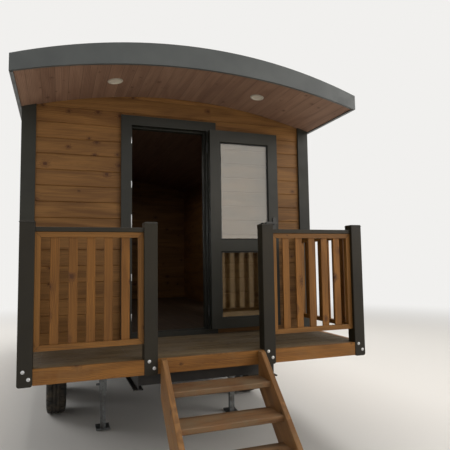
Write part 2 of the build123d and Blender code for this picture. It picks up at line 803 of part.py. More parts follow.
# Side windows: cased frames in the walls and sashes that open inwards
window_in = window_width / 2 - window_member
sash_gap = 8
sash_low = window_z + window_member + sash_gap
sash_high = window_z + window_height - window_member - sash_gap
sash_hinges = [sash_low + 90, sash_high - 90 - 60]
with BuildPart() as window_frames:
    for side in (-1, 1):
        outer_x = side * (cabin_half + corner_thick)
        face_x = side * cabin_half
        room_x = side * inner_half
        stop_x = side * (inner_half + sash_thick + 6)
        x0, x1 = sorted((outer_x, face_x))
        block(x0, x1, window_y - window_width / 2 - casing, window_y + window_width / 2 + casing,
              window_z - casing, window_z + window_height + casing)
        x0, x1 = sorted((face_x, room_x))
        block(x0, x1, window_y - window_width / 2, window_y + window_width / 2,
              window_z, window_z + window_height)
        x0, x1 = sorted((outer_x + side, stop_x))
        block(x0, x1, window_y - window_in + stop_lip, window_y + window_in - stop_lip,
              window_z + window_member + stop_lip, window_z + window_height - window_member - stop_lip,
              mode=Mode.SUBTRACT)
        x0, x1 = sorted((stop_x, room_x - side))
        block(x0, x1, window_y - window_in, window_y + window_in, window_z + window_member,
              window_z + window_height - window_member, mode=Mode.SUBTRACT)
        with BuildSketch(Plane.XZ.offset(-window_y - window_width / 2 - casing - 15)):
            with BuildLine():
                Polyline((face_x, window_z - casing), (face_x, window_z - casing - 28),
                         (outer_x + side * drip, window_z - casing - 28),
                         (outer_x + side * drip, window_z - casing - 12),
                         (outer_x, window_z - casing), close=True)
            make_face()
        extrude(amount=window_width + 2 * casing + 30)
        for z in sash_hinges:
            with Locations((side * (inner_half - hinge_out), window_y - window_in, z + 15)):
                Cylinder(knuckle, 28)
            x0, x1 = sorted((side * (inner_half - 3), room_x))
            block(x0, x1, window_y - window_in - 30, window_y - window_in - pin, z + 1, z + 29)

window_parts = {}
for side, side_name in ((-1, "left"), (1, "right")):
    inside = side * inner_half
    outside = side * (inner_half + sash_thick)
    x0, x1 = sorted((inside, outside))
    y0 = window_y - window_in + sash_gap
    y1 = window_y + window_in - sash_gap
    with BuildPart() as sash:
        block(x0, x1, y0, y1, sash_low, sash_high)
        block(x0 - 1, x1 + 1, y0 + sash_member, y1 - sash_member, sash_low + sash_member,
              sash_high - sash_member, mode=Mode.SUBTRACT)
        for z in sash_hinges:
            with Locations((side * (inner_half - hinge_out), window_y - window_in, z + 45)):
                Cylinder(knuckle, 28)
            h0, h1 = sorted((side * (inner_half - 3), inside))
            block(h0, h1, window_y - window_in + pin, y0 + 30, z + 31, z + 59)
    middle = (x0 + x1) / 2
    with BuildPart() as pane:
        block(middle - pane_thick / 2, middle + pane_thick / 2, y0 + sash_member, y1 - sash_member,
              sash_low + sash_member, sash_high - sash_member)
    window_parts["sash_" + side_name] = sash.part
    window_parts["pane_" + side_name] = pane.part

# Stairs: two plain stringers with four open treads
rise = deck_top / risers
pitch = rise / going
drop = stringer_depth * sqrt(1 + pitch * pitch)
back_at_post = deck_top + stringer_top * pitch - drop
foot_back = front - stringer_top - (deck_top - drop) / pitch
with BuildPart() as stringers:
    for side in (-1, 1):
        x = side * stair_half if side < 0 else stair_half - stringer
        with BuildSketch(Plane.YZ.offset(x)):
            with BuildLine():
                Polyline((front - stair_run, 0), (foot_back, 0), (front, back_at_post),
                         (front, deck_top), (front - stringer_top, deck_top), close=True)
            make_face()
        extrude(amount=stringer)

    long_edges = stringers.edges().filter_by(Axis.X, reverse=True)
    chamfer(long_edges.filter_by(lambda edge: edge.length > 2 * stringer), arris)

with BuildPart() as treads:
    for k in range(1, risers):
        y1 = front - 4 - (k - 1) * going
        z1 = deck_top - k * rise
        with BuildSketch(Plane.YZ.offset(stringer - stair_half)) as tread:
            with Locations((y1 - tread_depth / 2, z1 - tread_thick / 2)):
                Rectangle(tread_depth, tread_thick)
            fillet(tread.vertices().group_by(Axis.X)[0], 8)
        extrude(amount=2 * (stair_half - stringer))

nodes = {
    "chassis_beams": chassis_beams.part,
    "cross_members": cross_members.part,
    "outriggers": outriggers.part,
    "drawbar": drawbar.part,
    "towing_eye": towing_eye.part,
    "axle_beams": axle_beams.part,
    **wheels,
    **steadies,
    "steady_brackets": steady_brackets.part,
    "jockey_tube": jockey_tube.part,
    "jockey_stem": jockey_stem.part,
    "jockey_fork": jockey_fork.part,
    "jockey_wheel": jockey_wheel.part,
    "floor_platform": floor_platform.part,
    "rim_boards": rim_boards.part,
    "deck_boards": deck_boards.part,
    "posts": posts.part,
    "top_rails": top_rails.part,
    "railing_frames": railing_frames.part,
    "railing_slats": railing_slats.part,
    "front_wall": front_wall.part,
    "rear_wall": rear_wall.part,
    **side_walls,
    "corner_boards": corner_boards.part,
    "roof_shell": roof_shell.part,
    "roof_covering": roof_covering.part,
    "roof_lining": roof_lining.part,
    "downlights": downlights.part,
    "end_fascias": end_fascias.part,
    "eave_fascias": eave_fascias.part,
    "door_frame": door_frame.part,
    "door_leaf": door_leaf.part,
    "door_glass": door_glass.part,
    "door_beads": door_beads.part,
    "door_handles": door_handles.part,
    "leaf_hinges": leaf_hinges.part,
    "frame_fittings": frame_fittings.part,
    "window_frames": window_frames.part,
    **window_parts,
    "stringers": stringers.part,
    "treads": treads.part,
}
for name, solid in nodes.items():
    solid.label = name
    export_step(solid, "parts/" + name + ".step")
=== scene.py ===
from math import atan2, cos, degrees, pi, radians, sin

import bmesh
import bpy
from mathutils import Matrix, Vector


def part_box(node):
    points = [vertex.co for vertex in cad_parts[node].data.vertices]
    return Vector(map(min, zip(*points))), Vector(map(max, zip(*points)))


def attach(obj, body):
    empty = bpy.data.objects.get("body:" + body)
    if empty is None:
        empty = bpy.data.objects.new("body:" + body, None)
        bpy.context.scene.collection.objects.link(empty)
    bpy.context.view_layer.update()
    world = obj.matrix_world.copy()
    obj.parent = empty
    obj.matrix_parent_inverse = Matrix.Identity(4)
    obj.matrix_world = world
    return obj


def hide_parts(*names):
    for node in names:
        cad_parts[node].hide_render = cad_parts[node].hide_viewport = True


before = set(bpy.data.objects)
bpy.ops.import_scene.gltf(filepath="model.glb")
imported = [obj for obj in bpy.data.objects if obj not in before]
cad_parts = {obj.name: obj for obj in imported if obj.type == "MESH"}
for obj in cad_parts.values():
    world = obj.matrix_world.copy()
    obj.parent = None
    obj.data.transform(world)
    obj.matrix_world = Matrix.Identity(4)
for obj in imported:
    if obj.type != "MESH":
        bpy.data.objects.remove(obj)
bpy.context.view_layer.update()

# Sizes of this wagon's parts, in metres
CAP_OVERHANG = 0.003
POST_PLACES = (-1.2, -0.432, 0.432, 1.2)
SIDE_PANEL_X = 1.175
FRONT_PANEL_X = 0.817
FRONT_PANEL_HALF = 0.340
SIDE_PANEL_Y = -2.366
SIDE_PANEL_HALF = 0.4065
PANEL_Z = 1.314
PANEL_HALF_HEIGHT = 0.371
FRONT_SLAT_PITCH = 0.1108
SIDE_SLAT_PITCH = 0.1141
RIM_BOARD = 0.86
STAIR_RISE = 0.1682
STAIR_GOING = 0.180
LINING_PITCH = 0.096
FLOORBOARD_PITCH = 0.140
PLYWOOD_SHEET = 1.25
EAVE_STRIP = 1.8
WHEEL_RADIUS = 0.320
DOWNLIGHT_PLACE = (0.610, -2.3175, 0.0)

# Places read from the frame, in metres. The porch is at -Y and the drawbar at +Y.
POSTS_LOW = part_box("posts")[0]
PORCH_Y = POSTS_LOW.y + CAP_OVERHANG
DECK_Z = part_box("deck_boards")[1].z
LEAF_LOW, LEAF_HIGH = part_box("door_leaf")

# Rows of boards, each with its pitch and the place of one joint
CLADDING_PITCH = 0.133
CLADDING_START = DECK_Z + 1.019
DECK_COUNT = 7
DECK_PITCH = 0.83 / DECK_COUNT
DECK_START = PORCH_Y + 0.093
TREAD_START = -0.05

# Level of mirroring of stained and painted timber, and the sockets of a colour Mix node
SATIN = 0.3
MIX_LOW, MIX_HIGH, MIXED = 6, 7, 2


# Shader helpers

def linear(code):
    # sRGB hex to linear RGBA
    parts = [int(code[i:i + 2], 16) / 255 for i in (1, 3, 5)]
    return [c / 12.92 if c <= 0.04045 else ((c + 0.055) / 1.055) ** 2.4 for c in parts] + [1.0]


def add(tree, kind, settings, links):
    # one shader node, with its settings and with what feeds its inputs
    node = tree.nodes.new("ShaderNode" + kind)
    for name, value in settings.items():
        if isinstance(name, str) and hasattr(node, name):
            setattr(node, name, value)
        else:
            node.inputs[name].default_value = value
    for name, source in links.items():
        tree.links.new(source.outputs[0] if hasattr(source, "outputs") else source, node.inputs[name])
    return node


def new_material(name, metallic=0.0, specular=0.5):
    # a material with its principled shader and its object coordinates, whole and split by axis
    material = bpy.data.materials.new(name)
    material.use_nodes = True
    tree = material.node_tree
    shader = tree.nodes["Principled BSDF"]
    shader.inputs["Metallic"].default_value = metallic
    shader.inputs["Specular IOR Level"].default_value = specular
    place = add(tree, "TexCoord", {}, {}).outputs["Object"]
    axes = add(tree, "SeparateXYZ", {}, {0: place}).outputs
    return material, tree, shader, place, axes


def gloss_and_relief(tree, shader, roughness, wash, grain, strength, depth):
    # roughness that rises and falls with the wash, and a relief of the grain
    gloss = add(tree, "MapRange", {"From Min": 0.3, "From Max": 0.7, "To Min": roughness - 0.07,
                                   "To Max": roughness + 0.10}, {0: wash})
    tree.links.new(gloss.outputs[0], shader.inputs["Roughness"])
    relief = add(tree, "Bump", {"Strength": strength, "Distance": depth}, {"Height": grain})
    tree.links.new(relief.outputs[0], shader.inputs["Normal"])


def joint_line(tree, shader, colour, row, near, far, strength, shade):
    # a dark line at each joint, where row is a whole number: full up to near from it and gone at far
    away = add(tree, "Math", {"operation": "PINGPONG", 1: 0.5}, {0: row})
    line = add(tree, "MapRange", {"From Min": near, "From Max": far, "To Min": strength, "To Max": 0.0},
               {0: away})
    colour = add(tree, "Mix", {"data_type": "RGBA", MIX_HIGH: linear(shade)}, {0: line, MIX_LOW: colour})
    tree.links.new(colour.outputs[MIXED], shader.inputs["Base Color"])
    return colour.outputs[MIXED]


# Timber

def sawn_board(tree, along, across, through, board, knot_radius):
    """One sawn softwood board. Growth rings some 9 mm apart are drawn out along the grain, with finer streaks
    and a broad light and dark figure, and the grain flows round knots. Gives the tone, the knots, the fine
    streaks and the board's own luck, each from 0 to 1."""
    luck = add(tree, "TexWhiteNoise", {"noise_dimensions": "3D"}, {"Vector": board})
    jump = add(tree, "VectorMath", {"operation": "SCALE", "Scale": 31.0}, {0: luck.outputs["Color"]})
    point = add(tree, "CombineXYZ", {}, {0: along, 1: across, 2: through})
    place = add(tree, "VectorMath", {"operation": "ADD"}, {0: point, 1: jump})
    # a knot to each fifth of a metre, of any size up to the largest, and none in a third of the places
    cell = add(tree, "TexVoronoi", {"voronoi_dimensions": "2D", "Scale": 5.0}, {"Vector": place})
    offset = add(tree, "VectorMath", {"operation": "SUBTRACT"}, {0: place, 1: cell.outputs["Position"]})
    offset = add(tree, "VectorMath", {"operation": "MULTIPLY", 1: (0.8, 1.0, 0.0)}, {0: offset})
    draw = add(tree, "SeparateColor", {}, {0: cell.outputs["Color"]})
    radius = add(tree, "MapRange", {"From Min": 0.35, "To Max": knot_radius}, {0: draw})
    area = add(tree, "Math", {"operation": "MULTIPLY_ADD", 2: 1e-7}, {0: radius, 1: radius})
    square = add(tree, "VectorMath", {"operation": "DOT_PRODUCT"}, {0: offset, 1: offset})
    ratio = add(tree, "Math", {"operation": "DIVIDE"}, {0: square.outputs["Value"], 1: area})
    ragged = add(tree, "TexNoise", {"Scale": 95.0, "Detail": 2.0}, {0: place})
    ragged = add(tree, "MapRange", {"From Min": 0.3, "From Max": 0.7, "To Min": 0.45, "To Max": 1.9},
                 {0: ragged})
    outline = add(tree, "Math", {"operation": "MULTIPLY"}, {0: ratio, 1: ragged})
    # streamlines past a round knot
    near = add(tree, "Math", {"operation": "ADD", 1: 0.7}, {0: ratio})
    shove = add(tree, "Math", {"operation": "DIVIDE", 0: 2.4}, {1: near})
    bend = add(tree, "VectorMath", {"operation": "SCALE"}, {0: offset, "Scale": shove})
    grain = add(tree, "VectorMath", {"operation": "SUBTRACT"}, {0: place, 1: bend})
    fine_place = add(tree, "Mapping", {"Scale": (2.2, 80.0, 80.0)}, {0: grain})
    fine = add(tree, "TexNoise", {"Scale": 1.0, "Detail": 4.0, "Roughness": 0.62, "Distortion": 0.5},
               {0: fine_place})
    ring_place = add(tree, "Mapping", {"Scale": (0.05, 1.0, 1.0)}, {0: grain})
    rings = add(tree, "TexWave", {"bands_direction": "Y", "Scale": 35.0, "Distortion": 11.0, "Detail": 2.0,
                                  "Detail Scale": 0.5}, {0: ring_place})
    wide_place = add(tree, "Mapping", {"Scale": (1.1, 9.0, 9.0)}, {0: grain})
    figure = add(tree, "TexNoise", {"Scale": 1.0, "Detail": 2.0, "Distortion": 1.2}, {0: wide_place})
    tone = add(tree, "Math", {"operation": "MULTIPLY", 1: 0.34}, {0: fine})
    tone = add(tree, "Math", {"operation": "MULTIPLY_ADD", 1: 0.16}, {0: rings.outputs["Fac"], 2: tone})
    tone = add(tree, "Math", {"operation": "MULTIPLY_ADD", 1: 0.50}, {0: figure, 2: tone})
    core = add(tree, "MapRange", {"interpolation_type": "SMOOTHSTEP", "From Min": 0.3, "From Max": 1.4,
                                  "To Min": 0.95, "To Max": 0.0}, {0: outline})
    halo = add(tree, "MapRange", {"interpolation_type": "SMOOTHSTEP", "From Min": 0.5, "From Max": 8.0,
                                  "To Min": 0.5, "To Max": 0.0}, {0: outline})
    knot = add(tree, "Math", {"operation": "MAXIMUM"}, {0: core, 1: halo})
    return tone, knot, fine, luck.outputs["Value"]


def stain(tree, shader, wood, shades, roughness, vary):
    """Transparent stain over a sawn board. shades are its dark grain, its light wood and its knots, and vary
    is how much one board differs from the next. Gives the colour, to be worn or left as it is."""
    tone, knot, fine, luck = wood
    dark, light, knot_shade = shades
    depth = add(tree, "MapRange", {"From Min": 0.36, "From Max": 0.64}, {0: tone})
    colour = add(tree, "Mix", {"data_type": "RGBA", MIX_LOW: linear(dark), MIX_HIGH: linear(light)},
                 {0: depth})
    strength = add(tree, "MapRange", {"To Min": 1.0 - vary, "To Max": 1.0 + vary}, {0: luck})
    colour = add(tree, "HueSaturation", {}, {"Color": colour.outputs[MIXED], "Value": strength})
    colour = add(tree, "Mix", {"data_type": "RGBA", MIX_HIGH: linear(knot_shade)}, {0: knot, MIX_LOW: colour})
    gloss_and_relief(tree, shader, roughness, fine, fine, 0.30, 0.0010)
    tree.links.new(colour.outputs[MIXED], shader.inputs["Base Color"])
    return colour.outputs[MIXED]


def worn(tree, shader, colour, place, shade, size, low, high):
    # patches where feet and weather have taken the finish, size metres across
    patch = add(tree, "TexNoise", {"Scale": 1.0 / size, "Detail": 6.0, "Roughness": 0.65}, {0: place})
    share = add(tree, "MapRange", {"From Min": low, "From Max": high, "To Max": 0.8}, {0: patch})
    colour = add(tree, "Mix", {"data_type": "RGBA", MIX_HIGH: linear(shade)}, {0: share, MIX_LOW: colour})
    tree.links.new(colour.outputs[MIXED], shader.inputs["Base Color"])
    return colour.outputs[MIXED]


def board_number(tree, axis, pitch, start=0.0):
    # which board a place lies on, counted along an axis from one joint
    row = add(tree, "Math", {"operation": "SUBTRACT", 1: start}, {0: axis})
    row = add(tree, "Math", {"operation": "DIVIDE", 1: pitch}, {0: row})
    return add(tree, "Math", {"operation": "FLOOR"}, {0: row})


def porch_sides(tree, axes):
    # 1 on the porch's two sides and 0 across its front, and the axes level with its panels and through them
    out = add(tree, "Math", {"operation": "ABSOLUTE"}, {0: axes["X"]})
    side = add(tree, "Math", {"operation": "GREATER_THAN", 1: SIDE_PANEL_X}, {0: out})
    level = add(tree, "Mix", {}, {0: side, "A": axes["X"], "B": axes["Y"]})
    through = add(tree, "Mix", {}, {0: side, "A": axes["Y"], "B": axes["X"]})
    return out, side, level, through


def spruce_cladding(name, along, through):
    # tongue-and-groove spruce under a honey-brown satin stain: even soft boards with small dark knots
    material, tree, shader, place, axes = new_material(name, specular=SATIN)
    row = board_number(tree, axes["Z"], CLADDING_PITCH, CLADDING_START)
    wall = add(tree, "Math", {"operation": "SIGN"}, {0: axes[through]})
    board = add(tree, "CombineXYZ", {}, {0: row, 1: wall})
    wood = sawn_board(tree, axes[along], axes["Z"], axes[through], board, 0.017)
    stain(tree, shader, wood, ("#654321", "#976d3d", "#4a2913"), 0.55, 0.10)
    return material


def slat_pine(name):
    # planed pine slats, each its own upright board, with a warmer coat of the same stain
    material, tree, shader, place, axes = new_material(name, specular=SATIN)
    out, side, level, through = porch_sides(tree, axes)
    front_row = board_number(tree, out, FRONT_SLAT_PITCH, FRONT_PANEL_X - FRONT_SLAT_PITCH / 2)
    side_row = board_number(tree, axes["Y"], SIDE_SLAT_PITCH, SIDE_PANEL_Y)
    row = add(tree, "Mix", {}, {0: side, "A": front_row, "B": side_row})
    hand = add(tree, "Math", {"operation": "SIGN"}, {0: axes["X"]})
    board = add(tree, "CombineXYZ", {}, {0: row, 1: hand, 2: side})
    wood = sawn_board(tree, axes["Z"], level, through, board, 0.018)
    stain(tree, shader, wood, ("#633e15", "#8f602a", "#44240e"), 0.5, 0.12)
    return material


def from_middle(tree, axis, middle, half):
    # distance from a panel's middle, and how far that is past its half width
    off = add(tree, "Math", {"operation": "SUBTRACT", 1: middle}, {0: axis})
    past = add(tree, "Math", {"operation": "ABSOLUTE"}, {0: off})
    return off, add(tree, "Math", {"operation": "SUBTRACT", 1: half}, {0: past})


def mitred_pine(name):
    # the slats' pine in frames mitred like a picture's: the grain turns at a fine dark line in each corner
    material, tree, shader, place, axes = new_material(name, specular=SATIN)
    out, side, level, through = porch_sides(tree, axes)
    front_off, front_past = from_middle(tree, out, FRONT_PANEL_X, FRONT_PANEL_HALF)
    side_off, side_past = from_middle(tree, axes["Y"], SIDE_PANEL_Y, SIDE_PANEL_HALF)
    height_off, height_past = from_middle(tree, axes["Z"], PANEL_Z, PANEL_HALF_HEIGHT)
    width_off = add(tree, "Mix", {}, {0: side, "A": front_off, "B": side_off})
    width_past = add(tree, "Mix", {}, {0: side, "A": front_past, "B": side_past})
    upright = add(tree, "Math", {"operation": "GREATER_THAN"}, {0: width_past, 1: height_past})
    along = add(tree, "Mix", {}, {0: upright, "A": level, "B": axes["Z"]})
    across = add(tree, "Mix", {}, {0: upright, "A": axes["Z"], "B": level})
    member = add(tree, "Mix", {}, {0: upright, "A": height_off, "B": width_off})
    member = add(tree, "Math", {"operation": "SIGN"}, {0: member})
    hand = add(tree, "Math", {"operation": "SIGN"}, {0: axes["X"]})
    hand = add(tree, "Math", {"operation": "MULTIPLY_ADD", 1: 3.0}, {0: side, 2: hand})
    board = add(tree, "CombineXYZ", {}, {0: upright, 1: member, 2: hand})
    wood = sawn_board(tree, along, across, through, board, 0.009)
    colour = stain(tree, shader, wood, ("#67431a", "#8f632f", "#44260f"), 0.5, 0.10)
    mitre = add(tree, "Math", {"operation": "SUBTRACT"}, {0: width_past, 1: height_past})
    joint_line(tree, shader, colour, mitre, 0.0006, 0.0022, 0.85, "#2c1c10")
    return material


def rim_pine(name):
    # broad planed pine boards round the deck's edge, stained, paler where splashed rain has dried
    material, tree, shader, place, axes = new_material(name, specular=SATIN)
    out, side, level, through = porch_sides(tree, axes)
    length = board_number(tree, axes["X"], RIM_BOARD, -RIM_BOARD / 2)
    board = add(tree, "CombineXYZ", {}, {0: length, 1: side})
    wood = sawn_board(tree, level, axes["Z"], through, board, 0.019)
    colour = stain(tree, shader, wood, ("#69431b", "#99682f", "#442711"), 0.55, 0.08)
    worn(tree, shader, colour, place, "#85623c", 0.22, 0.52, 0.75)
    return material


def larch_deck(name):
    # larch deck boards, unfinished, greyed by rain and scuffed by shoes
    material, tree, shader, place, axes = new_material(name, specular=SATIN)
    row = board_number(tree, axes["Y"], DECK_PITCH, DECK_START)
    board = add(tree, "CombineXYZ", {}, {0: row})
    wood = sawn_board(tree, axes["X"], axes["Y"], axes["Z"], board, 0.012)
    colour = stain(tree, shader, wood, ("#52452f", "#7d6a4e", "#382b1e"), 0.72, 0.12)
    colour = worn(tree, shader, colour, place, "#6f6250", 0.30, 0.42, 0.62)
    worn(tree, shader, colour, place, "#3d3124", 0.07, 0.58, 0.74)
    return material


def tread_pine(name):
    # stair treads of the same stained pine, bleached and trodden grey-brown along the middle
    material, tree, shader, place, axes = new_material(name, specular=SATIN)
    row = board_number(tree, axes["Z"], STAIR_RISE, TREAD_START)
    board = add(tree, "CombineXYZ", {}, {0: row})
    wood = sawn_board(tree, axes["X"], axes["Y"], axes["Z"], board, 0.013)
    colour = stain(tree, shader, wood, ("#61432a", "#8b6643", "#402915"), 0.62, 0.10)
    worn(tree, shader, colour, place, "#76654e", 0.18, 0.42, 0.64)
    return material


def stringer_pine(name):
    # the two stair strings, grain up the slope
    material, tree, shader, place, axes = new_material(name, specular=SATIN)
    slope = atan2(STAIR_RISE, STAIR_GOING)
    turned_place = add(tree, "Mapping", {"Rotation": (-slope, 0.0, 0.0)}, {0: place})
    lie = add(tree, "SeparateXYZ", {}, {0: turned_place}).outputs
    hand = add(tree, "Math", {"operation": "SIGN"}, {0: axes["X"]})
    board = add(tree, "CombineXYZ", {}, {0: hand})
    wood = sawn_board(tree, lie["Y"], lie["Z"], lie["X"], board, 0.015)
    colour = stain(tree, shader, wood, ("#6e4a27", "#9a6f40", "#412a14"), 0.58, 0.08)
    worn(tree, shader, colour, place, "#80694a", 0.25, 0.50, 0.75)
    return material


def lining_boards(name):
    # matt red-brown stained lining boards, tongued together under the roof
    material, tree, shader, place, axes = new_material(name, specular=SATIN)
    row = add(tree, "Math", {"operation": "DIVIDE", 1: LINING_PITCH}, {0: axes["X"]})
    number = add(tree, "Math", {"operation": "FLOOR"}, {0: row})
    board = add(tree, "CombineXYZ", {}, {0: number})
    wood = sawn_board(tree, axes["Y"], axes["X"], axes["Z"], board, 0.010)
    colour = stain(tree, shader, wood, ("#76594a", "#947663", "#5d4437"), 0.68, 0.07)
    joint_line(tree, shader, colour, row, 0.010, 0.035, 0.35, "#2c211b")
    return material


def filmed_plywood(name):
    # film-faced plywood under the floor: faint veneer under a dark matt film, splashed with road dirt
    material, tree, shader, place, axes = new_material(name, specular=SATIN)
    sheet = board_number(tree, axes["Y"], PLYWOOD_SHEET)
    board = add(tree, "CombineXYZ", {}, {0: sheet})
    wood = sawn_board(tree, axes["X"], axes["Y"], axes["Z"], board, 0.0)
    film = stain(tree, shader, wood, ("#2a221b", "#3b3128", "#241c16"), 0.7, 0.10)
    film = worn(tree, shader, film, place, "#5b4e3f", 0.25, 0.50, 0.80)
    # planed pine floorboards on its upper face, inside the cabin: their grain is their own, and their very
    # dark tone is painted shade of the dim cabin
    row = add(tree, "Math", {"operation": "DIVIDE", 1: FLOORBOARD_PITCH}, {0: axes["X"]})
    number = add(tree, "Math", {"operation": "FLOOR"}, {0: row})
    plank = add(tree, "CombineXYZ", {1: 5.0}, {0: number})
    wood = sawn_board(tree, axes["Y"], axes["X"], axes["Z"], plank, 0.009)
    # the dark stain here is painted shade: it keeps the floor inside the doorway as dim as the cabin's shadow
    floorboards_and_painted_shade = stain(tree, shader, wood, ("#3d2c1d", "#574230", "#2b1c11"), 0.6, 0.10)
    floorboards_and_painted_shade = joint_line(tree, shader, floorboards_and_painted_shade, row, 0.006, 0.020, 0.7, "#20150c")
    upper = add(tree, "Math", {"operation": "GREATER_THAN", 1: DECK_Z - 0.002}, {0: axes["Z"]})
    colour = add(tree, "Mix", {"data_type": "RGBA"}, {0: upper, MIX_LOW: film, MIX_HIGH: floorboards_and_painted_shade})
    tree.links.new(colour.outputs[MIXED], shader.inputs["Base Color"])
    return material


# Coats, metals, rubber and glass

def coat(tree, shader, place, shades, roughness, grit, relief):
    """An opaque coat. It drifts between two shades over half a metre, its gloss is uneven over a hand's
    breadth, and grit is the size of its texture in metres."""
    cloud = add(tree, "TexNoise", {"Scale": 2.2, "Detail": 4.0}, {0: place})
    share = add(tree, "MapRange", {"From Min": 0.35, "From Max": 0.65}, {0: cloud})
    colour = add(tree, "Mix", {"data_type": "RGBA", MIX_LOW: linear(shades[0]), MIX_HIGH: linear(shades[1])},
                 {0: share})
    wash = add(tree, "TexNoise", {"Scale": 9.0, "Detail": 5.0}, {0: place})
    grains = add(tree, "TexNoise", {"Scale": 1.0 / grit, "Detail": 2.0}, {0: place})
    gloss_and_relief(tree, shader, roughness, wash, grains, relief, 0.0006)
    tree.links.new(colour.outputs[MIXED], shader.inputs["Base Color"])
    return colour.outputs[MIXED]


def road_dust_and_painted_shade(tree, shader, place, height, colour, shade):
    # dust thrown up from the road, thickest near the ground; on the zinc its dark brown is also painted shade
    # low under the wagon
    film = add(tree, "TexNoise", {"Scale": 14.0, "Detail": 6.0, "Roughness": 0.65}, {0: place})
    film = add(tree, "MapRange", {"From Min": 0.40, "From Max": 0.70}, {0: film})
    low = add(tree, "MapRange", {"From Min": 0.05, "From Max": 0.85, "To Min": 0.8, "To Max": 0.12},
              {0: height})
    share = add(tree, "Math", {"operation": "MULTIPLY"}, {0: film, 1: low})
    colour = add(tree, "Mix", {"data_type": "RGBA", MIX_HIGH: linear(shade)}, {0: share, MIX_LOW: colour})
    tree.links.new(colour.outputs[MIXED], shader.inputs["Base Color"])


def anthracite_paint(name, along, shades):
    # satin anthracite paint brushed on planed timber: the grain and the brush marks show only as relief
    material, tree, shader, place, axes = new_material(name, specular=SATIN)
    coat(tree, shader, place, shades, 0.48, 0.004, 0.2)
    stretch = {"X": (6.0, 160.0, 160.0), "Z": (160.0, 160.0, 6.0)}[along]
    brushed = add(tree, "Mapping", {"Scale": stretch}, {0: place})
    marks = add(tree, "TexNoise", {"Scale": 1.0, "Detail": 4.0, "Roughness": 0.6}, {0: brushed})
    bump = add(tree, "Bump", {"Strength": 0.35, "Distance": 0.0008}, {"Height": marks})
    tree.links.new(bump.outputs[0], shader.inputs["Normal"])
    return material


def powder_coat(name):
    # folded aluminium with a fine-textured anthracite powder coat, butted strip to strip along the eaves
    material, tree, shader, place, axes = new_material(name)
    colour = coat(tree, shader, place, ("#464a4b", "#545858"), 0.42, 0.0012, 0.25)
    strip = add(tree, "Math", {"operation": "DIVIDE", 1: EAVE_STRIP}, {0: axes["Y"]})
    joint_line(tree, shader, colour, strip, 0.0006, 0.0014, 0.8, "#1d1f1f")
    return material


def foiled_vinyl(name):
    # extruded vinyl profile with a grained anthracite foil: even and slightly silky
    material, tree, shader, place, axes = new_material(name, specular=0.35)
    coat(tree, shader, place, ("#21221d", "#2b2b25"), 0.42, 0.0015, 0.2)
    return material


def chassis_enamel(name):
    # brushed-on black chassis enamel, dull under road dust
    material, tree, shader, place, axes = new_material(name)
    colour = coat(tree, shader, place, ("#151413", "#211f1d"), 0.6, 0.006, 0.4)
    road_dust_and_painted_shade(tree, shader, place, axes["Z"], colour, "#3a3228")
    return material


def roof_membrane(name):
    # rubber roofing in rolls a metre wide: matt, finely pebbled, with raised laps and settled dust
    material, tree, shader, place, axes = new_material(name)
    colour = coat(tree, shader, place, ("#3b3e40", "#45494b"), 0.78, 0.0024, 0.4)
    colour = joint_line(tree, shader, colour, axes["Y"], 0.003, 0.009, 0.8, "#1c1e1f")
    worn(tree, shader, colour, place, "#5a564f", 0.35, 0.52, 0.95)
    pebble = add(tree, "TexNoise", {"Scale": 420.0, "Detail": 2.0}, {0: place})
    beside = add(tree, "Math", {"operation": "PINGPONG", 1: 0.5}, {0: axes["Y"]})
    lap = add(tree, "MapRange", {"From Max": 0.03, "To Min": 2.0, "To Max": 0.0}, {0: beside})
    height = add(tree, "Math", {"operation": "ADD"}, {0: pebble, 1: lap})
    bump = add(tree, "Bump", {"Strength": 0.4, "Distance": 0.0012}, {"Height": height})
    tree.links.new(bump.outputs[0], shader.inputs["Normal"])
    return material


def tyre_rubber(name):
    # moulded tyre rubber: matt black-grey, brown dust in the grooves and low on the walls
    material, tree, shader, place, axes = new_material(name)
    colour = coat(tree, shader, place, ("#1a1a19", "#262523"), 0.82, 0.0016, 0.4)
    road_dust_and_painted_shade(tree, shader, place, axes["Z"], colour, "#5a4f41")
    return material


def gasket_rubber(name):
    # extruded black glazing rubber, slightly shiny
    material, tree, shader, place, axes = new_material(name)
    coat(tree, shader, place, ("#131313", "#1d1d1c"), 0.55, 0.001, 0.2)
    return material


def wheel_paint(name):
    # pressed steel wheels painted silver: soft metallic flake under road dust
    material, tree, shader, place, axes = new_material(name, metallic=0.7)
    colour = coat(tree, shader, place, ("#7d7f80", "#96999a"), 0.42, 0.001, 0.15)
    road_dust_and_painted_shade(tree, shader, place, axes["Z"], colour, "#6a5f50")
    return material


def hot_dip_zinc(name):
    # hot-dip galvanised steel: dull grey, in spangles some 12 mm across, dark brown towards the ground with
    # road dirt and painted shade
    material, tree, shader, place, axes = new_material(name, metallic=1.0)
    spangle = add(tree, "TexVoronoi", {"Scale": 80.0}, {"Vector": place})
    tint = add(tree, "SeparateColor", {}, {0: spangle.outputs["Color"]})
    colour = add(tree, "Mix", {"data_type": "RGBA", MIX_LOW: linear("#696c6d"), MIX_HIGH: linear("#898c8d")},
                 {0: tint})
    # the dark brown laid on near the ground is road dirt and also painted shade of the wagon's underside
    road_dust_and_painted_shade(tree, shader, place, axes["Z"], colour.outputs[MIXED], "#4a4238")
    gloss = add(tree, "MapRange", {"To Min": 0.42, "To Max": 0.62}, {0: tint})
    tree.links.new(gloss.outputs[0], shader.inputs["Roughness"])
    return material


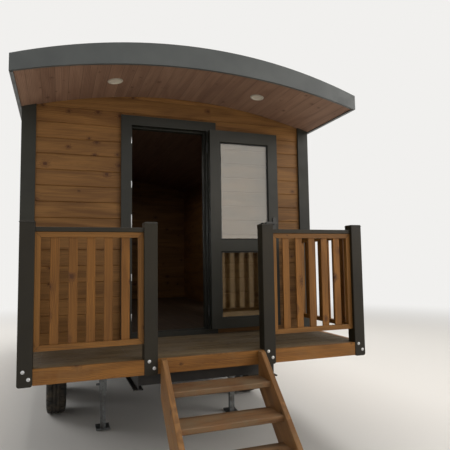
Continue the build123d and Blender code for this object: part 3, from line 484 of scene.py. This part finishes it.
def brushing(tree, place):
    # fine vertical lines a millimetre apart, as a colour and a roughness
    lines = add(tree, "Mapping", {"Scale": (900.0, 900.0, 12.0)}, {0: place})
    brush = add(tree, "TexNoise", {"Scale": 1.0, "Detail": 2.0}, {0: lines})
    colour = add(tree, "Mix", {"data_type": "RGBA", MIX_LOW: linear("#b0b1b2"), MIX_HIGH: linear("#d0d1d1")},
                 {0: brush})
    gloss = add(tree, "MapRange", {"From Min": 0.2, "From Max": 0.8, "To Min": 0.22, "To Max": 0.40},
                {0: brush})
    return colour.outputs[MIXED], gloss.outputs[0]


def brushed_steel(name):
    # stainless steel brushed upwards: the lock's faceplate and cylinders, the keeps' lips and the bolts
    material, tree, shader, place, axes = new_material(name, metallic=1.0)
    colour, gloss = brushing(tree, place)
    tree.links.new(colour, shader.inputs["Base Color"])
    tree.links.new(gloss, shader.inputs["Roughness"])
    return material


def dark_fittings(name):
    # lever handles and hinges powder-coated a satin near-black, like the frame round them
    material, tree, shader, place, axes = new_material(name)
    coat(tree, shader, place, ("#222322", "#2e2f2e"), 0.38, 0.0008, 0.15)
    return material


def jamb_fittings(name):
    # brushed stainless keeps on the left jamb, and near-black hinge halves on the right one
    material, tree, shader, place, axes = new_material(name)
    black = coat(tree, shader, place, ("#222322", "#2e2f2e"), 0.38, 0.0008, 0.15)
    steel, gloss = brushing(tree, place)
    keep = add(tree, "Math", {"operation": "LESS_THAN", 1: 0.0}, {0: axes["X"]})
    colour = add(tree, "Mix", {"data_type": "RGBA"}, {0: keep, MIX_LOW: black, MIX_HIGH: steel})
    gloss = add(tree, "Mix", {"A": 0.38}, {0: keep, "B": gloss})
    tree.links.new(colour.outputs[MIXED], shader.inputs["Base Color"])
    tree.links.new(keep.outputs[0], shader.inputs["Metallic"])
    tree.links.new(gloss.outputs[0], shader.inputs["Roughness"])
    return material


def double_glazing(name):
    """Float glass, clear with a faint green-grey and a film of dust. The model's pane is one block with two
    faces where a sealed unit has four, so a higher IOR gives it the mirroring of the four."""
    material, tree, shader, place, axes = new_material(name)
    shader.inputs["Transmission Weight"].default_value = 1.0
    shader.inputs["IOR"].default_value = 1.75
    film = add(tree, "TexNoise", {"Scale": 3.0, "Detail": 5.0}, {0: place})
    colour = add(tree, "Mix", {"data_type": "RGBA", MIX_LOW: linear("#a9b0aa"), MIX_HIGH: linear("#c2c8c3")},
                 {0: film})
    gloss = add(tree, "MapRange", {"From Min": 0.35, "From Max": 0.75, "To Min": 0.01, "To Max": 0.07},
                {0: film})
    tree.links.new(colour.outputs[MIXED], shader.inputs["Base Color"])
    tree.links.new(gloss.outputs[0], shader.inputs["Roughness"])
    return material


def downlight_cover(name):
    # unlit lamp: an opal acrylic disc, faintly frosted, in a satin white ring 10 mm wide
    material, tree, shader, place, axes = new_material(name)
    out = add(tree, "Math", {"operation": "ABSOLUTE"}, {0: axes["X"]})
    flat = add(tree, "CombineXYZ", {}, {0: out, 1: axes["Y"]})
    off = add(tree, "VectorMath", {"operation": "DISTANCE", 1: DOWNLIGHT_PLACE}, {0: flat})
    ring = add(tree, "MapRange", {"interpolation_type": "SMOOTHSTEP", "From Min": 0.048, "From Max": 0.050},
               {0: off.outputs["Value"]})
    colour = coat(tree, shader, place, ("#c9c2b6", "#d8d2c6"), 0.35, 0.0006, 0.1)
    colour = add(tree, "Mix", {"data_type": "RGBA", MIX_HIGH: linear("#b3aca1")}, {0: ring, MIX_LOW: colour})
    tree.links.new(colour.outputs[MIXED], shader.inputs["Base Color"])
    return material


# Finishes of the frame's own nodes

def dress(material, *nodes):
    # the material onto every slot of the named CAD nodes
    for node in nodes:
        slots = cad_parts[node].data.materials
        for place in range(len(slots)):
            slots[place] = material


WHEELS = ("front_left", "front_right", "rear_left", "rear_right")
PANES = ("door_glass", "pane_left", "pane_right")
ZINC = hot_dip_zinc("hot_dip_zinc")
STEEL = brushed_steel("brushed_stainless_steel")
TYRE = tyre_rubber("tyre_rubber")
GASKET = gasket_rubber("glazing_rubber")
dress(spruce_cladding("stained_spruce_end_walls", "X", "Y"), "front_wall", "rear_wall")
dress(spruce_cladding("stained_spruce_side_walls", "Y", "X"), "left_wall", "right_wall")
dress(slat_pine("stained_pine_slats"), "railing_slats")
dress(mitred_pine("stained_pine_mitred"), "railing_frames")
dress(rim_pine("stained_pine_rim"), "rim_boards")
dress(larch_deck("weathered_larch"), "deck_boards")
dress(tread_pine("stained_pine_treads"), "treads")
dress(stringer_pine("stained_pine_strings"), "stringers")
dress(lining_boards("stained_lining_boards"), "roof_lining")
dress(filmed_plywood("film_faced_plywood"), "floor_platform", "roof_shell")
dress(anthracite_paint("anthracite_paint_posts", "Z", ("#1b170e", "#252014")), "posts")
dress(anthracite_paint("anthracite_paint_corners", "Z", ("#252520", "#31312b")), "corner_boards")
dress(anthracite_paint("anthracite_paint_rails", "X", ("#1e1a10", "#292317")), "top_rails")
dress(powder_coat("powder_coated_aluminium"), "end_fascias", "eave_fascias")
dress(foiled_vinyl("foiled_vinyl"), "door_frame", "door_leaf", "door_beads", "window_frames", "sash_left",
      "sash_right")
dress(chassis_enamel("chassis_enamel"), "chassis_beams", "cross_members", "outriggers", "drawbar",
      "axle_beams", "steady_brackets")
dress(roof_membrane("rubber_roofing"), "roof_covering")
dress(TYRE, "jockey_wheel")
dress(wheel_paint("silver_wheel_paint"), *["rim_" + wheel for wheel in WHEELS])
dress(ZINC, "towing_eye", "jockey_tube", "jockey_stem", "jockey_fork",
      *["steady_" + wheel for wheel in WHEELS])
dress(jamb_fittings("keeps_and_hinges"), "frame_fittings")
dress(dark_fittings("satin_black_powder_coat"), "door_handles", "leaf_hinges")
dress(double_glazing("double_glazing"), *PANES)
dress(downlight_cover("opal_acrylic"), "downlights")
for pane in PANES:
    # clear glass lets the lamps' light through to what stands behind it
    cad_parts[pane].visible_shadow = False


# Ways of making a piece

ACROSS = Vector((1, 0, 0))
UP = Vector((0, 0, 1))
MIRROR = Matrix.Scale(-1, 4, ACROSS)


def blank(name, start, **sizes):
    # a primitive to be shaped, with its place in its mesh and its origin at the world's; stays in edit mode
    bpy.ops.object.select_all(action="DESELECT")
    start(**sizes)
    piece = bpy.context.object
    piece.name = name
    bpy.ops.object.transform_apply(location=True, rotation=True, scale=True)
    bpy.ops.object.mode_set(mode="EDIT")
    return piece


def pick(test):
    # selects, in edit mode, the faces that pass the test
    bpy.ops.mesh.select_mode(type="FACE")
    bpy.ops.mesh.select_all(action="DESELECT")
    mesh = bpy.context.object.data
    faces = bmesh.from_edit_mesh(mesh)
    for face in faces.faces:
        face.select_set(test(face))
    bmesh.update_edit_mesh(mesh)


def step(*insets):
    # insets in the picked faces, one inside the other, each a width and a rise
    for width, rise in insets:
        bpy.ops.mesh.inset(thickness=width, depth=rise)


def cut(place, way):
    # edges all round the piece where a plane crosses it
    bpy.ops.mesh.select_all(action="SELECT")
    bpy.ops.mesh.bisect(plane_co=place, plane_no=way)


def rounded(piece, width, segments):
    # its arrises rounded off
    bpy.ops.object.mode_set(mode="OBJECT")
    rounding = piece.modifiers.new("rounding", "BEVEL")
    rounding.width = width
    rounding.segments = segments
    bpy.ops.object.modifier_apply(modifier=rounding.name)


def turn(name, foot, way, outline, steps):
    """A closed piece turned on the lathe; stays in edit mode. Each point of its outline is a distance from
    foot along way, and a radius. The outline is drawn by pulling one vertex from point to point."""
    side = ACROSS if way.z else UP
    points = [foot + way * along + side * radius for along, radius in outline]
    piece = blank(name, bpy.ops.mesh.primitive_plane_add, size=0.01, location=points[0])
    bpy.ops.mesh.select_mode(type="VERT")
    bpy.ops.mesh.merge(type="CENTER")
    for here, there in zip(points, points[1:]):
        bpy.ops.mesh.extrude_vertices_move(TRANSFORM_OT_translate={"value": there - here})
    bpy.ops.mesh.select_all(action="SELECT")
    bpy.ops.mesh.spin(steps=steps, angle=2 * pi, center=foot, axis=way)
    bpy.ops.mesh.select_all(action="SELECT")
    bpy.ops.mesh.remove_doubles(threshold=0.00005)
    bpy.ops.mesh.normals_make_consistent(inside=False)
    return piece


def whole_section(half):
    # a closed wheel section from its right half, of distances from the middle and radii
    section = [(-out, radius) for out, radius in half] + [side for side in reversed(half) if side[0] > 0]
    return section + section[:1]


def done(piece, body, material, smooth=30.0):
    # smooth faces on the piece just shaped, its finish and the body that it moves with
    bpy.ops.object.mode_set(mode="OBJECT")
    bpy.ops.object.shade_smooth_by_angle(angle=radians(smooth))
    piece.data.materials.append(material)
    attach(piece, body)
    return piece


def copy_to(piece, name, matrix):
    # a copy with its own mesh, placed in that mesh
    twin = piece.copy()
    twin.data = piece.data.copy()
    twin.name = name
    bpy.context.collection.objects.link(twin)
    twin.data.transform(matrix)
    if matrix.determinant() < 0:
        twin.data.flip_normals()
    return twin


def repeat(piece, places):
    # the piece just shaped, copied from the first place to the others and joined as one
    bpy.ops.object.mode_set(mode="OBJECT")
    for place in places[1:]:
        copy_to(piece, piece.name + "_copy", Matrix.Translation(place - places[0])).select_set(True)
    bpy.ops.object.join()


# Wheels

TYRE_HALF = ((0.065, 0.1785), (0.065, 0.194), (0.0725, 0.199), (0.0765, 0.2015), (0.079, 0.2085),
             (0.0865, 0.222), (0.0915, 0.238), (0.0925, 0.2455), (0.0912, 0.2475), (0.0925, 0.2495),
             (0.0915, 0.266), (0.089, 0.281), (0.0862, 0.292), (0.0872, 0.2945), (0.081, 0.3085),
             (0.0705, 0.3175), (0.0665, 0.3193), (0.041, WHEEL_RADIUS), (0.0395, 0.3125), (0.0305, 0.3125),
             (0.029, WHEEL_RADIUS), (0.005, WHEEL_RADIUS), (0.004, 0.3125))
TREAD_SECTORS = 150
SHOULDER_RIB = 0.041
NUT_CIRCLE = 0.056
VALVE_CIRCLE = 0.108


def road_tyre(centre):
    """A tyre 185 mm wide, turned from its section with a rim guard and three grooves, then slots pressed in
    across the shoulder ribs, every fifth of its 150 sectors."""
    piece = turn("tyre_tread_front_left", centre, ACROSS, whole_section(TYRE_HALF), TREAD_SECTORS)

    def slotted(face):
        middle = face.calc_center_median() - centre
        sector = int(degrees(atan2(middle.y, middle.z)) % 360 / (360 / TREAD_SECTORS))
        reach = Vector((middle.y, middle.z)).length
        late = 0 if middle.x > 0 else 2
        return abs(middle.x) > SHOULDER_RIB and reach > 0.300 and sector % 5 == late

    pick(slotted)
    bpy.ops.mesh.extrude_region_shrink_fatten(TRANSFORM_OT_shrink_fatten={"value": -0.007})
    return piece


def wheel_nuts(centre, side):
    # five chamfered wheel nuts with their stud ends, on a 112 mm circle
    piece = blank("wheel_nuts_front_left", bpy.ops.mesh.primitive_cylinder_add, vertices=6, radius=0.0115,
                  depth=0.016, rotation=(0, pi / 2, 0),
                  location=(centre.x + side * 0.032, centre.y, centre.z + NUT_CIRCLE))
    pick(lambda face: face.normal.x * side > 0.9)
    step((0.002, 0.0025), (0.002, 0.0), (0.0005, 0.004), (0.0012, 0.001))
    bpy.ops.mesh.select_all(action="SELECT")
    bpy.ops.mesh.spin(steps=4, dupli=True, angle=radians(288), center=centre, axis=ACROSS)
    return piece


def valve(centre, side):
    # rubber snap-in valve and its cap, on the wheel's raised ring between two hand holes
    foot = centre + Vector((side * 0.037, VALVE_CIRCLE * sin(pi / 8), VALVE_CIRCLE * cos(pi / 8)))
    outline = ((0.0, 0.0), (0.0, 0.007), (0.004, 0.0065), (0.008, 0.0045), (0.018, 0.004), (0.018, 0.0048),
               (0.027, 0.0048), (0.0285, 0.0035), (0.0285, 0.0))
    return turn("valve_front_left", foot, ACROSS * side, outline, 12)


def dress_wheels():
    # a tyre, its nuts and its valve, copied to the other wheels
    low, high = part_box("tyre_front_left")
    first = (low + high) / 2
    first.z = WHEEL_RADIUS
    tyre = done(road_tyre(first), "wheel_front_left", TYRE, 40.0)
    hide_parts("tyre_front_left")
    nuts = done(wheel_nuts(first, -1), "wheel_front_left", ZINC)
    stem = done(valve(first, -1), "wheel_front_left", GASKET)
    for wheel in WHEELS[1:]:
        low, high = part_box("tyre_" + wheel)
        shift = Matrix.Translation((0, (low.y + high.y) / 2 - first.y, 0))
        move = shift @ MIRROR if wheel.endswith("right") else shift
        for part, kind, slot in ((tyre, "tyre_tread_", "tyre"), (nuts, "wheel_nuts_", "bright_steel"),
                                 (stem, "valve_", "solid_rubber")):
            twin = copy_to(part, kind + wheel, move)
            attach(twin, "wheel_" + wheel)
            if part is tyre:
                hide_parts("tyre_" + wheel)


# Fixings

BOLT_OFFSETS = ((-0.013, 0.093), (0.020, 0.047))
JOISTS = (-1.12, -0.56, 0.0, 0.56, 1.12)
BOARD_SHARES = (0.22, 0.78)
TREADS = 4
# middle of a tread's end, from one rise below the edge of the step above
TREAD_MIDDLE = Vector((0, -0.104, -0.019))


def post_bolts():
    # stainless coach bolts, two slantwise at each post's foot: a washer and a low dome
    places = [Vector((x + off, PORCH_Y, POSTS_LOW.z + up)) for x in POST_PLACES for off, up in BOLT_OFFSETS]
    piece = blank("post_bolts", bpy.ops.mesh.primitive_cylinder_add, vertices=20, radius=0.0115, depth=0.002,
                  rotation=(pi / 2, 0, 0), location=places[0])
    pick(lambda face: face.normal.y < -0.9)
    step((0.0032, 0.0), (0.0002, 0.0022), (0.0024, 0.0016), (0.0028, 0.0008))
    repeat(piece, places)
    done(piece, "wagon", STEEL)


def screws(name, places, outward):
    # countersunk screw heads with a pressed recess, in a face that looks outward
    piece = blank(name, bpy.ops.mesh.primitive_cylinder_add, vertices=12, radius=0.0048, depth=0.002,
                  rotation=outward.to_track_quat("Z", "Y").to_euler(), location=places[0])
    pick(lambda face: face.normal.dot(outward) > 0.9)
    step((0.0026, 0.0), (0.0003, -0.0012))
    repeat(piece, places)
    return done(piece, "wagon", ZINC)


def deck_screws():
    # two screws through each deck board into each joist
    rows = [DECK_START + (board + off) * DECK_PITCH for board in range(DECK_COUNT) for off in BOARD_SHARES]
    screws("deck_screws", [Vector((x, y, DECK_Z - 0.0006)) for y in rows for x in JOISTS], UP)


def string_screws():
    # two screws through each string into the end of each tread
    top = Vector((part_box("stringers")[1].x - 0.0004, PORCH_Y, DECK_Z)) + TREAD_MIDDLE
    places = [top - Vector((0, tread * STAIR_GOING + along, (tread + 1) * STAIR_RISE))
              for tread in range(TREADS) for along in (0.05, -0.05)]
    piece = screws("string_screws_right", places, ACROSS)
    twin = copy_to(piece, "string_screws_left", MIRROR)
    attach(twin, "wagon")


# Glazing and door furniture

BEAD = 0.0125
DOOR_PANES = (("lower", 0.970, 1.579), ("upper", 1.670, 2.577))
FACEPLATE_Z = 1.757
LATCH_LOW, LATCH_HIGH = 1.822, 1.847
# each lock keep's foot and length
KEEPS = ((0.991, 0.060), (1.326, 0.060), (1.765, 0.130), (2.127, 0.060), (2.515, 0.060))


def gasket(name, low, high, heading, body):
    """Glazing rubber round a pane. low and high are opposite corners of the sight opening on the face of the
    glass, and heading is the way that face looks, in quarter turns from the porch."""
    middle = (low + high) / 2
    piece = blank(name, bpy.ops.mesh.primitive_plane_add, size=1, location=middle,
                  rotation=(pi / 2, 0, heading * pi / 2))
    bpy.ops.transform.resize(value=[length or 1 for length in high - low], center_override=middle)
    step((0.006, 0.0))
    bpy.ops.mesh.delete(type="FACE")
    bpy.ops.object.mode_set(mode="OBJECT")
    wall = piece.modifiers.new("thickness", "SOLIDIFY")
    wall.thickness = 0.004
    wall.offset = 1.0
    bpy.ops.object.modifier_apply(modifier=wall.name)
    rounded(piece, 0.0015, 2)
    done(piece, body, GASKET)


def glaze():
    # rubbers on both faces of the door's two panes and of the side windows
    low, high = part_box("door_glass")
    for level, bottom, top in DOOR_PANES:
        for face, y, heading in (("outside", low.y, 0), ("inside", high.y, 2)):
            gasket("door_gasket_%s_%s" % (level, face), Vector((low.x + BEAD, y, bottom + BEAD)),
                   Vector((high.x - BEAD, y, top - BEAD)), heading, "door")
    for side in ("left", "right"):
        low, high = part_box("pane_" + side)
        for face, x, heading in (("one", low.x, -1), ("two", high.x, 1)):
            gasket("window_gasket_%s_%s" % (side, face), Vector((x, low.y, low.z)),
                   Vector((x, high.y, high.z)), heading, "window_" + side)


def lock_plate():
    # stainless faceplate let into the leaf's free edge, with its latch
    place = (LEAF_HIGH.x, (LEAF_LOW.y + LEAF_HIGH.y) / 2, FACEPLATE_Z)
    piece = blank("lock_faceplate", bpy.ops.mesh.primitive_cube_add, size=1, location=place,
                  scale=(0.003, 0.020, 0.240))
    bpy.ops.mesh.subdivide(number_cuts=1)
    cut((0, 0, LATCH_LOW), UP)
    cut((0, 0, LATCH_HIGH), UP)
    pick(lambda face: face.normal.x > 0.9 and LATCH_LOW < face.calc_center_median().z < LATCH_HIGH)
    step((0.004, 0.0), (0.001, 0.003))
    done(piece, "door", STEEL)


def keep_lips():
    # bright lips that wrap the lock keeps round the front arris of the left jamb
    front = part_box("door_frame")[0].y
    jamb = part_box("frame_fittings")[0].x
    for number, (foot, length) in enumerate(KEEPS, 1):
        piece = blank("keep_lip_%d" % number, bpy.ops.mesh.primitive_cube_add, size=1,
                      location=(jamb - 0.0020, front - 0.0008, foot + length / 2),
                      scale=(0.0070, 0.0016, length))
        cut((jamb, 0, 0), ACROSS)
        pick(lambda face: face.normal.y > 0.9 and face.calc_center_median().x > jamb)
        bpy.ops.mesh.extrude_region_move(TRANSFORM_OT_translate={"value": (0, 0.0168, 0)})
        rounded(piece, 0.0005, 2)
        done(piece, "wagon", STEEL)


def key_cylinders():
    # a turned cylinder below each lever
    lever_low, lever_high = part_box("door_handles")
    outline = ((0.008, 0.0), (0.008, 0.0115), (0.0105, 0.0115), (0.0115, 0.0105), (0.0115, 0.0085),
               (0.0108, 0.008), (0.0108, 0.0))
    for name, y, way in (("outside", LEAF_LOW.y, -1), ("inside", LEAF_HIGH.y, 1)):
        foot = Vector((lever_high.x - 0.016, y, lever_low.z + 0.055))
        piece = turn("key_cylinder_" + name, foot, Vector((0, way, 0)), outline, 20)
        done(piece, "door", STEEL)


# Jockey wheel

JOCKEY_TYRE_HALF = ((0.0265, 0.066), (0.0295, 0.069), (0.0300, 0.088), (0.0275, 0.098), (0.0205, 0.1055),
                    (0.0110, 0.109), (0.0, 0.110))
JOCKEY_HUB_HALF = ((0.0275, 0.0665), (0.0295, 0.0650), (0.0285, 0.0605), (0.0120, 0.0560), (0.0070, 0.0500),
                   (0.0070, 0.0260), (0.0200, 0.0230), (0.0220, 0.0210), (0.0220, 0.0110))
# the crank stands on the tube's own axis, which its bracket puts off the middle of the node's box
CRANK_X = 0.2015
CRANK_BEND = (0.055, 0.085)


def jockey_wheel():
    # a solid rubber tyre on a dished steel hub, in place of the frame's plain disc
    low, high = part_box("jockey_wheel")
    centre = (low + high) / 2
    centre.z = low.z + JOCKEY_TYRE_HALF[-1][1]
    tyre = turn("jockey_tyre", centre, ACROSS, whole_section(JOCKEY_TYRE_HALF), 64)
    done(tyre, "jockey_roller", TYRE, 40.0)
    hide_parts("jockey_wheel")
    hub = turn("jockey_hub", centre, ACROSS, whole_section(JOCKEY_HUB_HALF), 64)
    done(hub, "jockey_roller", ZINC, 40.0)


def jockey_crank():
    # shaft, bent arm and turned grip on top of the jockey tube
    low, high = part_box("jockey_tube")
    foot = Vector((CRANK_X, (low.y + high.y) / 2, high.z))
    outline = ((0.0, 0.0), (0.0, 0.024), (0.006, 0.024), (0.009, 0.021), (0.009, 0.010), (0.035, 0.009),
               (0.037, 0.007), (0.037, 0.0))
    done(turn("jockey_crank_shaft", foot, UP, outline, 24), "wagon", ZINC)
    arm = blank("jockey_crank_arm", bpy.ops.mesh.primitive_cube_add, size=1,
                location=foot + Vector((0, -0.075, 0.028)), scale=(0.020, 0.178, 0.006))
    for away in CRANK_BEND:
        cut(foot - Vector((0, away, 0)), (0, 1, 0))
    pick(lambda face: face.calc_center_median().y < foot.y - CRANK_BEND[1] - 0.001)
    bpy.ops.transform.translate(value=(0, 0, 0.016))
    rounded(arm, 0.0022, 3)
    done(arm, "wagon", ZINC)
    outline = ((0.0, 0.0), (0.0, 0.009), (0.004, 0.012), (0.030, 0.0145), (0.070, 0.0135), (0.086, 0.011),
               (0.090, 0.006), (0.091, 0.0))
    grip = turn("jockey_crank_grip", foot + Vector((0, -0.150, 0.046)), UP, outline, 24)
    done(grip, "wagon", GASKET, 50.0)


dress_wheels()
post_bolts()
deck_screws()
string_screws()
glaze()
lock_plate()
keep_lips()
key_cylinders()
jockey_wheel()
jockey_crank()


# Stage, light and camera

STAGE_WHITE = "#f1f0ee"
FLOOR_FADE = (5.5, 12.0)


def seen_directly(tree):
    # 1 for what the camera, a mirror or glass shows, and 0 for light that falls on the wagon
    path = add(tree, "LightPath", {}, {}).outputs
    seen = add(tree, "Math", {"operation": "MAXIMUM"}, {0: path["Is Camera Ray"], 1: path["Is Glossy Ray"]})
    return add(tree, "Math", {"operation": "MAXIMUM"}, {0: seen, 1: path["Is Transmission Ray"]})


def studio_floor():
    # pale matt floor: it throws less light back than it shows, as gravel does, and melts into the backdrop
    floor = blank("floor", bpy.ops.mesh.primitive_plane_add, size=400, location=(0, 0, -0.001))
    bpy.ops.object.mode_set(mode="OBJECT")
    material, tree, shader, place, axes = new_material("stage_floor")
    shader.inputs["Roughness"].default_value = 0.9
    seen = seen_directly(tree)
    colour = add(tree, "Mix", {"data_type": "RGBA", MIX_LOW: linear("#ece7dc"), MIX_HIGH: linear("#dedbd6")},
                 {0: seen})
    tree.links.new(colour.outputs[MIXED], shader.inputs["Base Color"])
    far = add(tree, "VectorMath", {"operation": "LENGTH"}, {0: place})
    share = add(tree, "MapRange", {"interpolation_type": "SMOOTHSTEP", "From Min": FLOOR_FADE[0],
                                   "From Max": FLOOR_FADE[1]}, {0: far.outputs["Value"]})
    share = add(tree, "Math", {"operation": "MULTIPLY"}, {0: share, 1: seen})
    glow = add(tree, "Emission", {"Color": linear(STAGE_WHITE)}, {})
    blend = add(tree, "MixShader", {}, {0: share, 1: shader, 2: glow})
    tree.links.new(blend.outputs[0], tree.nodes["Material Output"].inputs["Surface"])
    floor.data.materials.append(material)


def studio_world():
    # soft even light all round, weaker on the wagon than it looks in the backdrop
    world = bpy.data.worlds.new("studio")
    world.use_nodes = True
    bpy.context.scene.world = world
    tree = world.node_tree
    sky = tree.nodes["Background"]
    sky.inputs["Color"].default_value = linear(STAGE_WHITE)
    strength = add(tree, "MapRange", {"To Min": 0.45}, {0: seen_directly(tree)})
    tree.links.new(strength.outputs[0], sky.inputs["Strength"])


def lamp(name, place, target, width, height, watts, tint):
    # soft rectangular light aimed at a point
    bpy.ops.object.light_add(type="AREA", location=place)
    light = bpy.context.object
    light.name = name
    light.rotation_euler = (Vector(target) - Vector(place)).to_track_quat("-Z", "Y").to_euler()
    light.data.shape = "RECTANGLE"
    light.data.size = width
    light.data.size_y = height
    light.data.energy = watts
    light.data.color = tint
    light.visible_camera = False


def reflector_board():
    # brown board under the softbox, behind the camera, which the door's lower pane mirrors
    board = blank("reflector_board", bpy.ops.mesh.primitive_cube_add, size=1, location=(3.4, -8.6, 0.95),
                  scale=(3.2, 0.02, 1.9))
    bpy.ops.object.mode_set(mode="OBJECT")
    board.visible_camera = False
    board.visible_diffuse = False
    board.visible_shadow = False
    material, tree, shader, place, axes = new_material("stage_board")
    coat(tree, shader, place, ("#d2b086", "#dabb94"), 0.9, 0.004, 0.1)
    board.data.materials.append(material)


studio_floor()
studio_world()
reflector_board()
lamp("key_right", (8.0, -8.0, 5.5), (0.0, -1.0, 1.4), 5.0, 5.0, 330, (1.0, 0.98, 0.95))
lamp("front_softbox", (3.3, -8.5, 3.4), (0.6, -2.0, 2.1), 2.4, 3.1, 34, (1.0, 0.87, 0.74))
lamp("overhead", (1.0, 0.0, 9.0), (0.0, 0.0, 1.5), 6.0, 6.0, 650, (1.0, 0.99, 0.97))
lamp("left_rear", (-8.0, 7.0, 5.0), (0.0, 0.0, 1.5), 6.0, 6.0, 420, (0.98, 0.99, 1.0))
lamp("cabin_daylight", (0.0, 0.3, 2.65), (0.0, 0.3, 0.9), 1.6, 3.0, 3.0, (1.0, 0.95, 0.88))

# camera at the photograph's place: heading right, tilted up a little, with a slight roll
CAMERA_PLACE = (-1.021, PORCH_Y - 3.11, 1.48)
HEADING = radians(19.79)
TILT = radians(4.5)
ROLL = radians(-0.84)
bpy.ops.object.camera_add()
camera = bpy.context.object
camera.name = "photo_camera"
camera.matrix_world = (Matrix.Translation(CAMERA_PLACE) @ Matrix.Rotation(-HEADING, 4, "Z")
                       @ Matrix.Rotation(pi / 2 + TILT, 4, "X") @ Matrix.Rotation(ROLL, 4, "Z"))
camera.data.sensor_fit = "HORIZONTAL"
camera.data.sensor_width = 36.0
camera.data.lens = 37.2
camera.data.clip_end = 500
bpy.context.scene.camera = camera
bpy.context.scene.view_settings.view_transform = "Standard"
